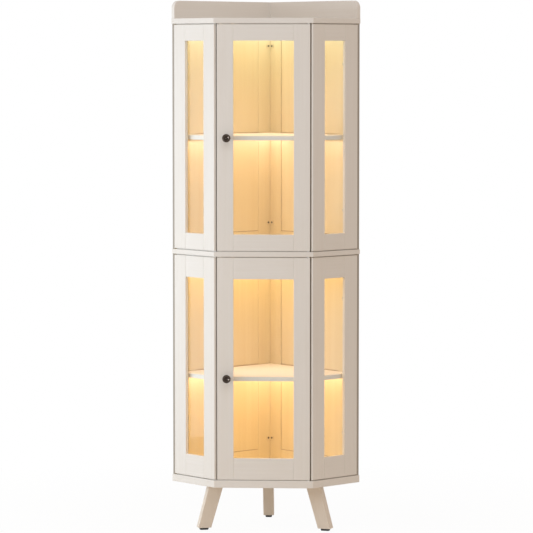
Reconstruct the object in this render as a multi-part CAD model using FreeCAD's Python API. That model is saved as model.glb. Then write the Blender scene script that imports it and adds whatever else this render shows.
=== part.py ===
import FreeCAD
import Part
import collections
import math
import os

from FreeCAD import Vector

# Heights, from the floor up.
GLIDE_HEIGHT = 8.0
LEG_HEIGHT = 147.0
BOTTOM_BOARD = 24.0
LOWER_SECTION = 757.0
MIDDLE_BOARD = 16.0
UPPER_SECTION = 764.0
TOP_BOARD = 18.0
GALLERY_HEIGHT = 60.0

# Plan of the boards: two edges along the walls of the room, a facet square to each of them, and a
# straight front edge between the facets. The frames stand a little behind the front and the facets.
WALL_LENGTH = 452.5
FACET_LENGTH = 217.0
BOARD_OVERHANG = 3.0
BOARD_EASE = 1.5

# Gallery round the back of the top board.
GALLERY_THICKNESS = 15.0
GALLERY_CORNER_RADIUS = 25.0

# Glazed frames: stiles over the full height, rails tenoned between them, glass in a rebate behind.
FRAME_THICKNESS = 15.0
FRAME_EASE = 1.2
DOOR_STILE = 55.0
WINDOW_INNER_STILE = 55.0
WINDOW_OUTER_STILE = 58.0
UPPER_RAIL = 55.0
LOWER_RAIL = 73.0
TENON_LENGTH = 14.0
TENON_THICKNESS = 5.0
TENON_SHOULDER = 12.0
TENON_FIT = 0.1
GLASS_THICKNESS = 4.0
GLASS_LAP = 8.0
GLASS_EDGE_ROOM = 1.0
CLIP_LENGTH = 17.0
CLIP_WIDTH = 10.0
CLIP_THICKNESS = 1.5
CLIP_BITE = 5.0
CLIP_SCREW_RADIUS = 2.6
CLIP_SCREW_HEIGHT = 1.0

# Doors: the gap all round them, and how far their edges stay from the corner of the facets.
DOOR_GAP = 3.0
DOOR_CORNER_INSET = 9.0
SHADOW_GAP_DEPTH = 9.0

# Pivot hinges: a pin at the head and the foot of the hinge stile turns in a bush in the board.
PIVOT_FROM_EDGE = 6.0
PIVOT_FROM_FACE = 6.0
PIN_RADIUS = 2.5
PIN_IN_DOOR = 18.0
PIN_COLLAR_RADIUS = 4.2
PIN_COLLAR = 1.0
PIN_FIT = 0.05
PIN_END_ROOM = 0.6
BUSH_RADIUS = 4.5
BUSH_DEPTH = 6.0
BUSH_FLANGE_RADIUS = 6.0
COLLAR_ROOM = 0.2

# Round pieces that are fixed in a hole have this much room all round.
SEAT_FIT = 0.03

# Knobs.
KNOB_RADIUS = 14.0
KNOB_PROJECTION = 25.0
KNOB_FOOT_RADIUS = 8.5
KNOB_FOOT = 1.5
KNOB_NECK_RADIUS = 5.5
KNOB_RIM_RADIUS = 3.4
KNOB_DISH_DEPTH = 3.2
KNOB_BUTTON_RADIUS = 3.6
KNOB_BUTTON_RISE = 2.0
KNOB_FROM_EDGE = 33.0
UPPER_KNOB_HEIGHT = 381.5
LOWER_KNOB_HEIGHT = 346.5
KNOB_SCREW_RADIUS = 2.0
KNOB_SCREW_HEAD_RADIUS = 4.0
KNOB_SCREW_HEAD = 2.2
KNOB_SCREW_DEPTH = 12.0

# Magnetic catches under the boards, and the strike plates that meet them.
CATCH_WIDTH = 28.0
CATCH_DEPTH = 13.0
CATCH_HEIGHT = 13.0
CATCH_EAR = 9.0
CATCH_EAR_THICKNESS = 2.0
CATCH_FROM_EDGE = 34.0
CATCH_GAP = 0.4
STRIKE_WIDTH = 32.0
STRIKE_HEIGHT = 12.0
STRIKE_THICKNESS = 1.5
STRIKE_CORNER = 2.0

# Back walls: a post at each side of the rear corner, a stile at each outer end, rails, thin panels. The
# panels lie in rebates with some play: the right one is pushed to its stile, the left one to its post.
WALL_BOARD = 9.0
WALL_STILE = 60.0
POST_THICKNESS = 10.0
POST_WIDTH = 55.0
UPPER_BACK_RAIL = 46.0
LOWER_BACK_RAIL = 50.0
PANEL_THICKNESS = 3.0
PANEL_LAP = 7.0
PANEL_EDGE_GAP = 1.5
PANEL_TIGHT_GAP = 0.4

# Angle brackets in the rear corner.
BRACKET_LEG = 18.0
BRACKET_WIDTH = 16.0
BRACKET_THICKNESS = 1.5
BRACKET_SCREW_OFFSET = 10.0
BRACKET_SCREW_RADIUS = 1.5
BRACKET_SCREW_HEAD_RADIUS = 3.2
BRACKET_SCREW_HEAD = 1.8
BRACKET_SCREW_DEPTH = 8.0
UPPER_BRACKET_INSET = 74.0
LOWER_BRACKET_INSET = 87.0

# Shelves on pins.
SHELF_THICKNESS = 15.0
UPPER_SHELF_HEIGHT = 388.0
LOWER_SHELF_HEIGHT = 350.0
SHELF_WALL_ROOM = 1.0
SHELF_FRONT_ROOM = 7.0
SHELF_PIN_RADIUS = 3.5
SHELF_PIN_TENON_RADIUS = 2.5
SHELF_PIN_TENON = 6.0
SHELF_PIN_FLAT = 2.2
SHELF_PIN_HOLD = 8.0
POST_PIN_FROM_CORNER = 34.0
WALL_PIN_FROM_FRAME = 24.0
WINDOW_PIN_FROM_CORNER = 30.0

# Battery puck lights, one over each compartment.
LIGHT_RADIUS = 27.0
LIGHT_HEIGHT = 10.0
LIGHT_LENS_RADIUS = 21.0
LIGHT_LENS_THICKNESS = 3.0
LIGHT_LENS_DROP = 0.8
LIGHT_FROM_LEFT_WALL = 51.0
LIGHT_FROM_RIGHT_WALL = 89.0

# Legs: two splayed to the sides at the front, one splayed to the rear, each on a glide. Their bolts
# come down from inside, with the heads sunk in the floor.
LEG_SPLAY = 15.5
LEG_TURN = 15.0
LEG_TOP_WIDTH = 50.0
LEG_BOTTOM_WIDTH = 44.5
LEG_THICKNESS = 36.0
LEG_EASE = 2.0
FRONT_FOOT_FROM_SIDE = 113.0
FRONT_FOOT_SETBACK = 79.0
REAR_FOOT_SETBACK = 108.0
GLIDE_LENGTH = 32.0
GLIDE_WIDTH = 25.0
GLIDE_TAPER = 2.0
GLIDE_CORNER_RADIUS = 7.0
GLIDE_STEM_RADIUS = 4.0
GLIDE_STEM = 16.0
LEG_BOLT_RADIUS = 3.0
LEG_BOLT_HEAD_RADIUS = 6.5
LEG_BOLT_HEAD = 2.5
LEG_BOLT_IN_LEG = 35.0
LEG_BOLT_SPACING = 18.0

# Levels and plan points that follow from the sizes above. Up is +Z and the front faces -Y. The
# origin is on the floor, under the middle of the overall width and depth, knobs included.
HALF_DIAGONAL = math.sqrt(0.5)
LOWER_FLOOR = GLIDE_HEIGHT + LEG_HEIGHT + BOTTOM_BOARD
LOWER_CEILING = LOWER_FLOOR + LOWER_SECTION
UPPER_FLOOR = LOWER_CEILING + MIDDLE_BOARD
UPPER_CEILING = UPPER_FLOOR + UPPER_SECTION
TOP_LEVEL = UPPER_CEILING + TOP_BOARD

HALF_WIDTH = WALL_LENGTH * HALF_DIAGONAL
HALF_FRONT = (WALL_LENGTH - FACET_LENGTH) * HALF_DIAGONAL
BOARD_DEPTH = (WALL_LENGTH + FACET_LENGTH) * HALF_DIAGONAL
OVERALL_DEPTH = BOARD_DEPTH - BOARD_OVERHANG + KNOB_PROJECTION
REAR_Y = OVERALL_DEPTH / 2.0
FRONT_Y = REAR_Y - BOARD_DEPTH
FACE_Y = FRONT_Y + BOARD_OVERHANG
BACK_OF_DOOR_Y = FACE_Y + FRAME_THICKNESS
OUTER_Y = REAR_Y - HALF_WIDTH

FACET_START = BOARD_OVERHANG * math.tan(math.radians(22.5))
FRAME_HALF_FRONT = HALF_FRONT - FACET_START
DOOR_HALF_WIDTH = FRAME_HALF_FRONT - DOOR_CORNER_INSET
PIVOT_X = DOOR_HALF_WIDTH - PIVOT_FROM_EDGE
PIVOT_Y = FACE_Y + PIVOT_FROM_FACE

Section = collections.namedtuple(
    "Section", "name floor ceiling rail back_rail shelf knob bracket"
)
SECTIONS = (
    Section(
        "lower", LOWER_FLOOR, LOWER_CEILING, LOWER_RAIL, LOWER_BACK_RAIL,
        LOWER_FLOOR + LOWER_SHELF_HEIGHT, LOWER_FLOOR + LOWER_KNOB_HEIGHT, LOWER_BRACKET_INSET,
    ),
    Section(
        "upper", UPPER_FLOOR, UPPER_CEILING, UPPER_RAIL, UPPER_BACK_RAIL,
        UPPER_FLOOR + UPPER_SHELF_HEIGHT, UPPER_FLOOR + UPPER_KNOB_HEIGHT, UPPER_BRACKET_INSET,
    ),
)

UP = Vector(0, 0, 1)
nodes = {}


def box(x0, x1, y0, y1, z0, z1):
    """A block between two values on each axis."""
    return Part.makeBox(x1 - x0, y1 - y0, z1 - z0, Vector(x0, y0, z0))


def rod(radius, start, direction, length):
    """A round bar from a start point along a direction."""
    return Part.makeCylinder(radius, length, start, direction)


def prism(points, z0, z1):
    """An upright prism over a closed outline of (x, y) points."""
    corners = [Vector(x, y, z0) for x, y in points]
    outline = Part.makePolygon(corners + corners[:1])
    return Part.Face(outline).extrude(Vector(0, 0, z1 - z0))


def one(shape):
    """The single solid of a result."""
    assert len(shape.Solids) == 1, len(shape.Solids)
    return shape.Solids[0]


def edges_at(shape, axis, value):
    """The edges that lie wholly in the plane where one coordinate has a value."""
    return [
        edge for edge in shape.Edges
        if all(abs(getattr(vertex.Point, axis) - value) < 1e-6 for vertex in edge.Vertexes)
    ]


def eased(shape, radius, axis, value):
    """The solid with a small round along every edge of its face in one plane."""
    return one(shape.makeFillet(radius, edges_at(shape, axis, value)))


def placed(shape, degrees, x, y):
    """A copy turned about the upright axis and then moved in plan."""
    copy = shape.copy()
    copy.rotate(Vector(0, 0, 0), UP, degrees)
    copy.translate(Vector(x, y, 0))
    return copy


def mirrored(shape):
    """The left-hand copy of a right-hand piece."""
    return one(shape.mirror(Vector(0, 0, 0), Vector(1, 0, 0)))


def on_wall(shape):
    """Place a piece drawn along the right wall: x from the outer corner to the rear, y inward."""
    return placed(shape, 135.0, HALF_WIDTH, OUTER_Y)


def on_facet(shape):
    """Place a piece drawn along the right facet: x from the front corner outward, y inward."""
    return placed(shape, 45.0, HALF_FRONT, FRONT_Y)


def add(name, *solids):
    """Keep the solids of one node, and check that each is a sound closed body."""
    for solid in solids:
        assert solid.isValid() and solid.Volume > 0.0, name
    nodes[name] = list(solids)


# Boards and gallery


def leg_placements():
    """Each leg's name, the direction of its splay in degrees, and the centre of its foot."""
    front_x = HALF_WIDTH - FRONT_FOOT_FROM_SIDE
    front_y = FRONT_Y + FRONT_FOOT_SETBACK
    return (
        ("front_left_leg", 180.0 + LEG_TURN, -front_x, front_y),
        ("front_right_leg", -LEG_TURN, front_x, front_y),
        ("rear_leg", 90.0, 0.0, REAR_Y - REAR_FOOT_SETBACK),
    )


def leg_lean():
    """How far the head of a leg stands inward of its foot."""
    return LEG_HEIGHT * math.tan(math.radians(LEG_SPLAY))


def leg_bolt_places():
    """The plan positions of the two bolts of one leg, drawn with its splay along x."""
    return [(-leg_lean(), side * LEG_BOLT_SPACING / 2.0) for side in (-1, 1)]


def board(z0, z1):
    """A five-sided board with its front and facet edges eased above and below."""
    plan = (
        (-HALF_FRONT, FRONT_Y), (HALF_FRONT, FRONT_Y), (HALF_WIDTH, OUTER_Y),
        (0.0, REAR_Y), (-HALF_WIDTH, OUTER_Y),
    )
    body = prism(plan, z0, z1)
    shown = [
        edge for edge in edges_at(body, "z", z0) + edges_at(body, "z", z1)
        if edge.CenterOfMass.y < OUTER_Y
    ]
    return one(body.makeFillet(BOARD_EASE, shown))


def bush_seat(z, direction):
    """The blind hole for a pivot bush, into a board from its face at height z."""
    start = Vector(PIVOT_X, PIVOT_Y, z)
    return rod(BUSH_RADIUS + SEAT_FIT, start, Vector(0, 0, direction), BUSH_DEPTH)


def boards():
    """The three boards, with the bush seats, and the counterbored bolt holes over the legs."""
    bottom = board(GLIDE_HEIGHT + LEG_HEIGHT, LOWER_FLOOR)
    holes = [bush_seat(LOWER_FLOOR, -1)]
    for name, degrees, x, y in leg_placements():
        for s, t in leg_bolt_places():
            hole = rod(
                LEG_BOLT_RADIUS + SEAT_FIT, Vector(s, t, GLIDE_HEIGHT + LEG_HEIGHT), UP, BOTTOM_BOARD
            )
            sink = rod(
                LEG_BOLT_HEAD_RADIUS + SEAT_FIT, Vector(s, t, LOWER_FLOOR), Vector(0, 0, -1), LEG_BOLT_HEAD
            )
            holes += [placed(hole, degrees, x, y), placed(sink, degrees, x, y)]
    add("bottom_board", one(bottom.cut(holes)))
    middle = board(LOWER_CEILING, UPPER_FLOOR)
    add("middle_board", one(middle.cut([bush_seat(LOWER_CEILING, 1), bush_seat(UPPER_FLOOR, -1)])))
    top = board(UPPER_CEILING, TOP_LEVEL)
    add("top_board", one(top.cut(bush_seat(UPPER_CEILING, 1))))


def gallery(length):
    """One upstand along the right wall, with the upper corner of its free end rounded."""
    top = TOP_LEVEL + GALLERY_HEIGHT
    body = box(0.0, length, 0.0, GALLERY_THICKNESS, TOP_LEVEL, top)
    corner = [
        edge for edge in edges_at(body, "x", 0.0)
        if abs(edge.CenterOfMass.z - top) < 1e-6
    ]
    body = one(body.makeFillet(GALLERY_CORNER_RADIUS, corner))
    rim = [
        edge for edge in edges_at(body, "y", 0.0) + edges_at(body, "y", GALLERY_THICKNESS)
        if edge.CenterOfMass.z > TOP_LEVEL + 1.0 and edge.CenterOfMass.x < length - 1.0
    ]
    return on_wall(one(body.makeFillet(BOARD_EASE, rim)))


# Glazed frames, drawn with x along the face, y from the face to the back, z up


def shadow_gaps(x0, x1, low, high):
    """The shallow steps that part a fixed frame's face from the boards, like the gap of a door."""
    return [
        box(x0, x1, 0.0, SHADOW_GAP_DEPTH, low, low + DOOR_GAP),
        box(x0, x1, 0.0, SHADOW_GAP_DEPTH, high - DOOR_GAP, high),
    ]


def tenon(x0, x1, z0, z1, room):
    """A stub tenon in the front part of the thickness, or its mortise where room is above zero."""
    middle = (FRAME_THICKNESS - GLASS_THICKNESS) / 2.0
    half = TENON_THICKNESS / 2.0 + room
    return box(
        x0, x1, middle - half, middle + half, z0 + TENON_SHOULDER - room, z1 - TENON_SHOULDER + room
    )


def clip(edge, side, z):
    """A screwed turn-button that holds the glass: side is +1 where the glass lies toward +x."""
    seat = edge - side * GLASS_LAP
    near = seat - side * (CLIP_LENGTH - CLIP_BITE - GLASS_EDGE_ROOM)
    far = near + side * CLIP_LENGTH
    plate = box(
        min(near, far), max(near, far), FRAME_THICKNESS, FRAME_THICKNESS + CLIP_THICKNESS,
        z - CLIP_WIDTH / 2.0, z + CLIP_WIDTH / 2.0,
    )
    corners = [edge for edge in plate.Edges if edge.Length < CLIP_THICKNESS + 1e-6]
    plate = one(plate.makeFillet(CLIP_WIDTH * 0.35, corners))
    screw_x = near + side * (CLIP_LENGTH - CLIP_BITE) / 2.0
    head = rod(
        CLIP_SCREW_RADIUS, Vector(screw_x, FRAME_THICKNESS, z), Vector(0, 1, 0),
        CLIP_THICKNESS + CLIP_SCREW_HEIGHT,
    )
    head = eased(head, CLIP_SCREW_HEIGHT * 0.6, "y", FRAME_THICKNESS + CLIP_THICKNESS + CLIP_SCREW_HEIGHT)
    return one(plate.fuse(head))


def glazed_frame(width, low, high, first_stile, last_stile, rail, fixed):
    """Two stiles, two rails, a pane and its clips. A fixed frame gets a shadow gap at each end."""
    open_x = (first_stile, width - last_stile)
    open_z = (low + rail, high - rail)
    glass_y = FRAME_THICKNESS - GLASS_THICKNESS

    stiles = []
    for x0, x1 in ((0.0, open_x[0]), (open_x[1], width)):
        stile = box(x0, x1, 0.0, FRAME_THICKNESS, low, high)
        if fixed:
            stile = one(stile.cut(shadow_gaps(x0, x1, low, high)))
        stiles.append(eased(stile, FRAME_EASE, "y", 0.0))

    rails = []
    for z0, z1 in ((low, open_z[0]), (open_z[1], high)):
        body = box(open_x[0], open_x[1], 0.0, FRAME_THICKNESS, z0, z1)
        if fixed:
            gap = shadow_gaps(open_x[0], open_x[1], low, high)
            body = one(body.cut(gap[0] if z0 == low else gap[1]))
        body = eased(body, FRAME_EASE, "y", 0.0)
        tongue = tenon(open_x[0] - TENON_LENGTH, open_x[1] + TENON_LENGTH, z0, z1, 0.0)
        rails.append(one(body.fuse(tongue).removeSplitter()))

    rebate = box(
        open_x[0] - GLASS_LAP, open_x[1] + GLASS_LAP, glass_y, FRAME_THICKNESS,
        open_z[0] - GLASS_LAP, open_z[1] + GLASS_LAP,
    )
    mortises = [
        tenon(
            open_x[0] - TENON_LENGTH - TENON_FIT, open_x[1] + TENON_LENGTH + TENON_FIT, z0, z1, TENON_FIT
        )
        for z0, z1 in ((low, open_z[0]), (open_z[1], high))
    ]
    stiles = [one(stile.cut([rebate] + mortises)) for stile in stiles]
    rails = [one(piece.cut(rebate)) for piece in rails]

    inset = GLASS_LAP - GLASS_EDGE_ROOM
    glass = box(
        open_x[0] - inset, open_x[1] + inset, glass_y, FRAME_THICKNESS,
        open_z[0] - inset, open_z[1] + inset,
    )
    heights = [open_z[0] + share * (open_z[1] - open_z[0]) for share in (0.12, 0.88)]
    clips = [clip(open_x[0], 1, z) for z in heights] + [clip(open_x[1], -1, z) for z in heights]
    return stiles, rails, glass, clips


# Fixed windows in the facets


def window_pin_seat(section):
    """The hole for the shelf pin in the inner stile of a window, drawn along the facet."""
    z = section.shelf - SHELF_THICKNESS - SHELF_PIN_FLAT
    back = BOARD_OVERHANG + FRAME_THICKNESS
    start = Vector(FACET_START + WINDOW_PIN_FROM_CORNER, back - SHELF_PIN_TENON, z)
    return rod(SHELF_PIN_TENON_RADIUS + SEAT_FIT, start, Vector(0, 1, 0), SHELF_PIN_TENON)


def windows(section):
    """The two fixed windows of a section. Each inner stile is cut back beside the door."""
    width = FACET_LENGTH - WALL_BOARD - FACET_START
    stiles, rails, glass, clips = glazed_frame(
        width, section.floor, section.ceiling, WINDOW_INNER_STILE, WINDOW_OUTER_STILE,
        section.rail + DOOR_GAP, True,
    )
    move = Vector(FACET_START, BOARD_OVERHANG, 0)
    for piece in stiles + rails + clips + [glass]:
        piece.translate(move)
    stiles[0] = one(stiles[0].cut(window_pin_seat(section)))
    beside_door = box(
        0.0, DOOR_HALF_WIDTH + DOOR_GAP, FRONT_Y, REAR_Y, section.floor - 1.0, section.ceiling + 1.0
    )
    right = {
        "stiles": [one(on_facet(stiles[0]).cut(beside_door)), on_facet(stiles[1])],
        "rails": [on_facet(piece) for piece in rails],
        "glass": [on_facet(glass)],
    }
    for kind, solids in right.items():
        add(section.name + "_right_window_" + kind, *solids)
        add(section.name + "_left_window_" + kind, *[mirrored(solid) for solid in solids])
    placed_clips = [on_facet(piece) for piece in clips]
    return placed_clips + [mirrored(piece) for piece in placed_clips]


# Doors


def knob():
    """A mushroom knob turned about z, foot at zero: a waisted neck, a rolled rim, a dish, a button."""
    rim_level = KNOB_PROJECTION - KNOB_RIM_RADIUS
    rim_centre = KNOB_RADIUS - KNOB_RIM_RADIUS

    def on_rim(degrees):
        angle = math.radians(degrees)
        return Vector(
            rim_centre + KNOB_RIM_RADIUS * math.cos(angle), 0, rim_level + KNOB_RIM_RADIUS * math.sin(angle)
        )

    dish_floor = KNOB_PROJECTION - KNOB_DISH_DEPTH
    button_edge = Vector(KNOB_BUTTON_RADIUS, 0, dish_floor)
    crown = Vector(0, 0, dish_floor + KNOB_BUTTON_RISE)
    in_dish = (on_rim(90.0) + button_edge) * 0.5 - Vector(0, 0, KNOB_DISH_DEPTH * 0.3)
    button_ball = (KNOB_BUTTON_RADIUS ** 2 + KNOB_BUTTON_RISE ** 2) / (2.0 * KNOB_BUTTON_RISE)
    half_way = math.asin(KNOB_BUTTON_RADIUS / button_ball) / 2.0
    on_button = crown + Vector(math.sin(half_way), 0, math.cos(half_way) - 1.0) * button_ball
    foot = Vector(KNOB_FOOT_RADIUS, 0, KNOB_FOOT)
    waist = Vector(KNOB_NECK_RADIUS, 0, (KNOB_FOOT + rim_level) * 0.45)
    neck = Part.BSplineCurve()
    neck.interpolate([foot, waist, on_rim(-70.0)])
    edges = [
        Part.makeLine(Vector(0, 0, 0), Vector(KNOB_FOOT_RADIUS, 0, 0)),
        Part.makeLine(Vector(KNOB_FOOT_RADIUS, 0, 0), foot),
        neck.toShape(),
        Part.Arc(on_rim(-70.0), on_rim(10.0), on_rim(90.0)).toShape(),
        Part.Arc(on_rim(90.0), in_dish, button_edge).toShape(),
        Part.Arc(button_edge, on_button, crown).toShape(),
        Part.makeLine(crown, Vector(0, 0, 0)),
    ]
    return one(Part.Face(Part.Wire(edges)).revolve(Vector(0, 0, 0), UP, 360.0))


def knob_screw():
    """The screw from behind the stile into the knob, drawn along z with the stile's face at zero."""
    shank = rod(
        KNOB_SCREW_RADIUS, Vector(0, 0, -FRAME_THICKNESS), UP, FRAME_THICKNESS + KNOB_SCREW_DEPTH
    )
    back = -FRAME_THICKNESS - KNOB_SCREW_HEAD
    head = rod(KNOB_SCREW_HEAD_RADIUS, Vector(0, 0, back), UP, KNOB_SCREW_HEAD)
    head = eased(head, KNOB_SCREW_HEAD * 0.6, "z", back)
    return one(shank.fuse(head))


def pivot_pin(edge, outward):
    """The pin at one end of the hinge stile, with the collar that bears on the door's edge."""
    reach = DOOR_GAP + BUSH_DEPTH - PIN_END_ROOM
    low = min(edge - outward * PIN_IN_DOOR, edge + outward * reach)
    pin = rod(PIN_RADIUS, Vector(PIVOT_X, PIVOT_Y, low), UP, PIN_IN_DOOR + reach)
    collar_low = min(edge, edge + outward * PIN_COLLAR)
    collar = rod(PIN_COLLAR_RADIUS, Vector(PIVOT_X, PIVOT_Y, collar_low), UP, PIN_COLLAR)
    return one(pin.fuse(collar))


def pivot_bush(face, outward):
    """The flanged bush let into a board, its flange on the face that looks at the door."""
    barrel = rod(BUSH_RADIUS, Vector(PIVOT_X, PIVOT_Y, min(face, face + outward * BUSH_DEPTH)), UP, BUSH_DEPTH)
    thickness = DOOR_GAP - PIN_COLLAR - COLLAR_ROOM
    flange = rod(
        BUSH_FLANGE_RADIUS, Vector(PIVOT_X, PIVOT_Y, min(face, face - outward * thickness)), UP, thickness
    )
    bore = rod(
        PIN_RADIUS + PIN_FIT, Vector(PIVOT_X, PIVOT_Y, face - 2.0 * BUSH_DEPTH), UP, 4.0 * BUSH_DEPTH
    )
    return one(barrel.fuse(flange).cut(bore))


def door(section):
    """One glazed door with its knob, pivot pins and strike plate, closed."""
    low = section.floor + DOOR_GAP
    high = section.ceiling - DOOR_GAP
    stiles, rails, glass, clips = glazed_frame(
        2.0 * DOOR_HALF_WIDTH, low, high, DOOR_STILE, DOOR_STILE, section.rail, False
    )
    for piece in stiles + rails + clips + [glass]:
        piece.translate(Vector(-DOOR_HALF_WIDTH, FACE_Y, 0))
    knob_x = -DOOR_HALF_WIDTH + KNOB_FROM_EDGE
    knob_spot = Vector(knob_x, FACE_Y, section.knob)
    screw = knob_screw()
    handle = one(knob().cut(rod(KNOB_SCREW_RADIUS + SEAT_FIT, Vector(0, 0, 0), UP, KNOB_SCREW_DEPTH)))
    for piece in (screw, handle):
        piece.rotate(Vector(0, 0, 0), Vector(1, 0, 0), 90.0)
        piece.translate(knob_spot)
    screw_hole = rod(KNOB_SCREW_RADIUS + SEAT_FIT, knob_spot, Vector(0, 1, 0), FRAME_THICKNESS)
    pins = [pivot_pin(low, -1), pivot_pin(high, 1)]
    pin_holes = [
        rod(PIN_RADIUS + SEAT_FIT, Vector(PIVOT_X, PIVOT_Y, z), UP, PIN_IN_DOOR)
        for z in (low, high - PIN_IN_DOOR)
    ]
    strike_x = -DOOR_HALF_WIDTH + CATCH_FROM_EDGE
    strike = box(
        strike_x - STRIKE_WIDTH / 2.0, strike_x + STRIKE_WIDTH / 2.0,
        BACK_OF_DOOR_Y, BACK_OF_DOOR_Y + STRIKE_THICKNESS, high - STRIKE_HEIGHT, high,
    )
    corners = [edge for edge in strike.Edges if edge.Length < STRIKE_THICKNESS + 1e-6]
    strike = one(strike.makeFillet(STRIKE_CORNER, corners))
    name = section.name + "_door_"
    add(name + "knob_stile", one(stiles[0].cut(screw_hole)))
    add(name + "hinge_stile", one(stiles[1].cut(pin_holes)))
    add(name + "rails", *rails)
    add(name + "glass", glass)
    add(name + "glass_clips", *clips)
    add(name + "knob", handle)
    add(name + "knob_screw", screw)
    add(name + "pivot_pins", *pins)
    add(name + "strike_plate", strike)


def catch(section):
    """A magnetic catch under the board over a door: a block between two screwed ears."""
    x = -DOOR_HALF_WIDTH + CATCH_FROM_EDGE
    y0 = BACK_OF_DOOR_Y + STRIKE_THICKNESS + CATCH_GAP
    top = section.ceiling
    block = box(
        x - CATCH_WIDTH / 2.0, x + CATCH_WIDTH / 2.0, y0, y0 + CATCH_DEPTH, top - CATCH_HEIGHT, top
    )
    block = eased(block, 1.5, "z", top - CATCH_HEIGHT)
    reach = CATCH_WIDTH / 2.0 + CATCH_EAR
    ears = box(x - reach, x + reach, y0 + 1.5, y0 + CATCH_DEPTH - 1.5, top - CATCH_EAR_THICKNESS, top)
    return one(block.fuse(ears).removeSplitter())


# Back walls, drawn along the right wall


def back_panel(section, at_stile, at_post):
    """The panel of one back wall, with its gap at the stile and at the post."""
    seat = WALL_BOARD - PANEL_THICKNESS
    panel = box(
        BOARD_OVERHANG + WALL_STILE + at_stile, WALL_LENGTH - POST_THICKNESS - POST_WIDTH - at_post,
        seat, WALL_BOARD, section.floor + section.back_rail + PANEL_EDGE_GAP,
        section.ceiling - section.back_rail - PANEL_EDGE_GAP,
    )
    return on_wall(panel)


def back_wall(section):
    """The outer stile and two rails of one back wall, each with a lip behind the panel."""
    face = WALL_BOARD
    seat = WALL_BOARD - PANEL_THICKNESS
    rail_start = BOARD_OVERHANG + WALL_STILE
    post_start = WALL_LENGTH - POST_THICKNESS - POST_WIDTH
    low = section.floor + section.back_rail
    high = section.ceiling - section.back_rail
    stile = box(BOARD_OVERHANG, rail_start, 0.0, face, section.floor, section.ceiling)
    stile = eased(stile, FRAME_EASE, "x", BOARD_OVERHANG)
    tongue = box(rail_start, rail_start + PANEL_LAP, 0.0, seat, low + PANEL_LAP, high - PANEL_LAP)
    pin_z = section.shelf - SHELF_THICKNESS - SHELF_PIN_FLAT
    pin_x = BOARD_OVERHANG + FRAME_THICKNESS + WALL_PIN_FROM_FRAME
    pin_hole = rod(
        SHELF_PIN_TENON_RADIUS + SEAT_FIT, Vector(pin_x, face - SHELF_PIN_TENON, pin_z),
        Vector(0, 1, 0), SHELF_PIN_TENON,
    )
    stile = one(stile.fuse(tongue).removeSplitter().cut(pin_hole))
    rails = []
    for z0, z1, t0, t1 in (
        (section.floor, low, low, low + PANEL_LAP), (high, section.ceiling, high - PANEL_LAP, high)
    ):
        rail = box(rail_start, post_start, 0.0, face, z0, z1)
        lip = box(rail_start, post_start, 0.0, seat, t0, t1)
        rails.append(one(rail.fuse(lip).removeSplitter()))
    return [on_wall(piece) for piece in (stile, rails[0], rails[1])]


def rear_post(section, length):
    """A rear corner post, from its edge at the panel toward the rear corner, with a lip for the panel."""
    start = WALL_LENGTH - POST_THICKNESS - POST_WIDTH
    inside = start + POST_WIDTH
    post = box(start, start + length, 0.0, POST_THICKNESS, section.floor, section.ceiling)
    arris = [
        edge for edge in edges_at(post, "x", start)
        if all(abs(vertex.Point.y - POST_THICKNESS) < 1e-6 for vertex in edge.Vertexes)
    ]
    post = one(post.makeFillet(FRAME_EASE, arris))
    low = section.floor + section.back_rail + PANEL_LAP
    high = section.ceiling - section.back_rail - PANEL_LAP
    lip = box(start - PANEL_LAP, start, 0.0, WALL_BOARD - PANEL_THICKNESS, low, high)
    post = one(post.fuse(lip).removeSplitter())
    pin_z = section.shelf - SHELF_THICKNESS - SHELF_PIN_FLAT
    holes = [rod(
        SHELF_PIN_TENON_RADIUS + SEAT_FIT,
        Vector(inside - POST_PIN_FROM_CORNER, POST_THICKNESS - SHELF_PIN_TENON, pin_z),
        Vector(0, 1, 0), SHELF_PIN_TENON,
    )]
    for z in bracket_heights(section):
        holes.append(rod(
            BRACKET_SCREW_RADIUS + SEAT_FIT,
            Vector(inside - BRACKET_SCREW_OFFSET, POST_THICKNESS - BRACKET_SCREW_DEPTH, z),
            Vector(0, 1, 0), BRACKET_SCREW_DEPTH,
        ))
    return on_wall(one(post.cut(holes)))


def back_walls(section):
    """Both back walls of a section. The left post runs on behind the right one at the corner."""
    stile, foot, head = back_wall(section)
    play = 2.0 * PANEL_EDGE_GAP - PANEL_TIGHT_GAP
    right = back_panel(section, PANEL_TIGHT_GAP, play)
    left = mirrored(back_panel(section, play, PANEL_TIGHT_GAP))
    name = section.name
    add(name + "_wall_stiles", stile, mirrored(stile))
    add(name + "_back_rails", foot, head, mirrored(foot), mirrored(head))
    add(name + "_back_panels", right, left)
    add(name + "_right_rear_post", rear_post(section, POST_WIDTH))
    add(name + "_left_rear_post", mirrored(rear_post(section, POST_WIDTH + POST_THICKNESS)))


def bracket_heights(section):
    """The heights of the two corner brackets of a section."""
    return (section.floor + section.bracket, section.ceiling - section.bracket)


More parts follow.
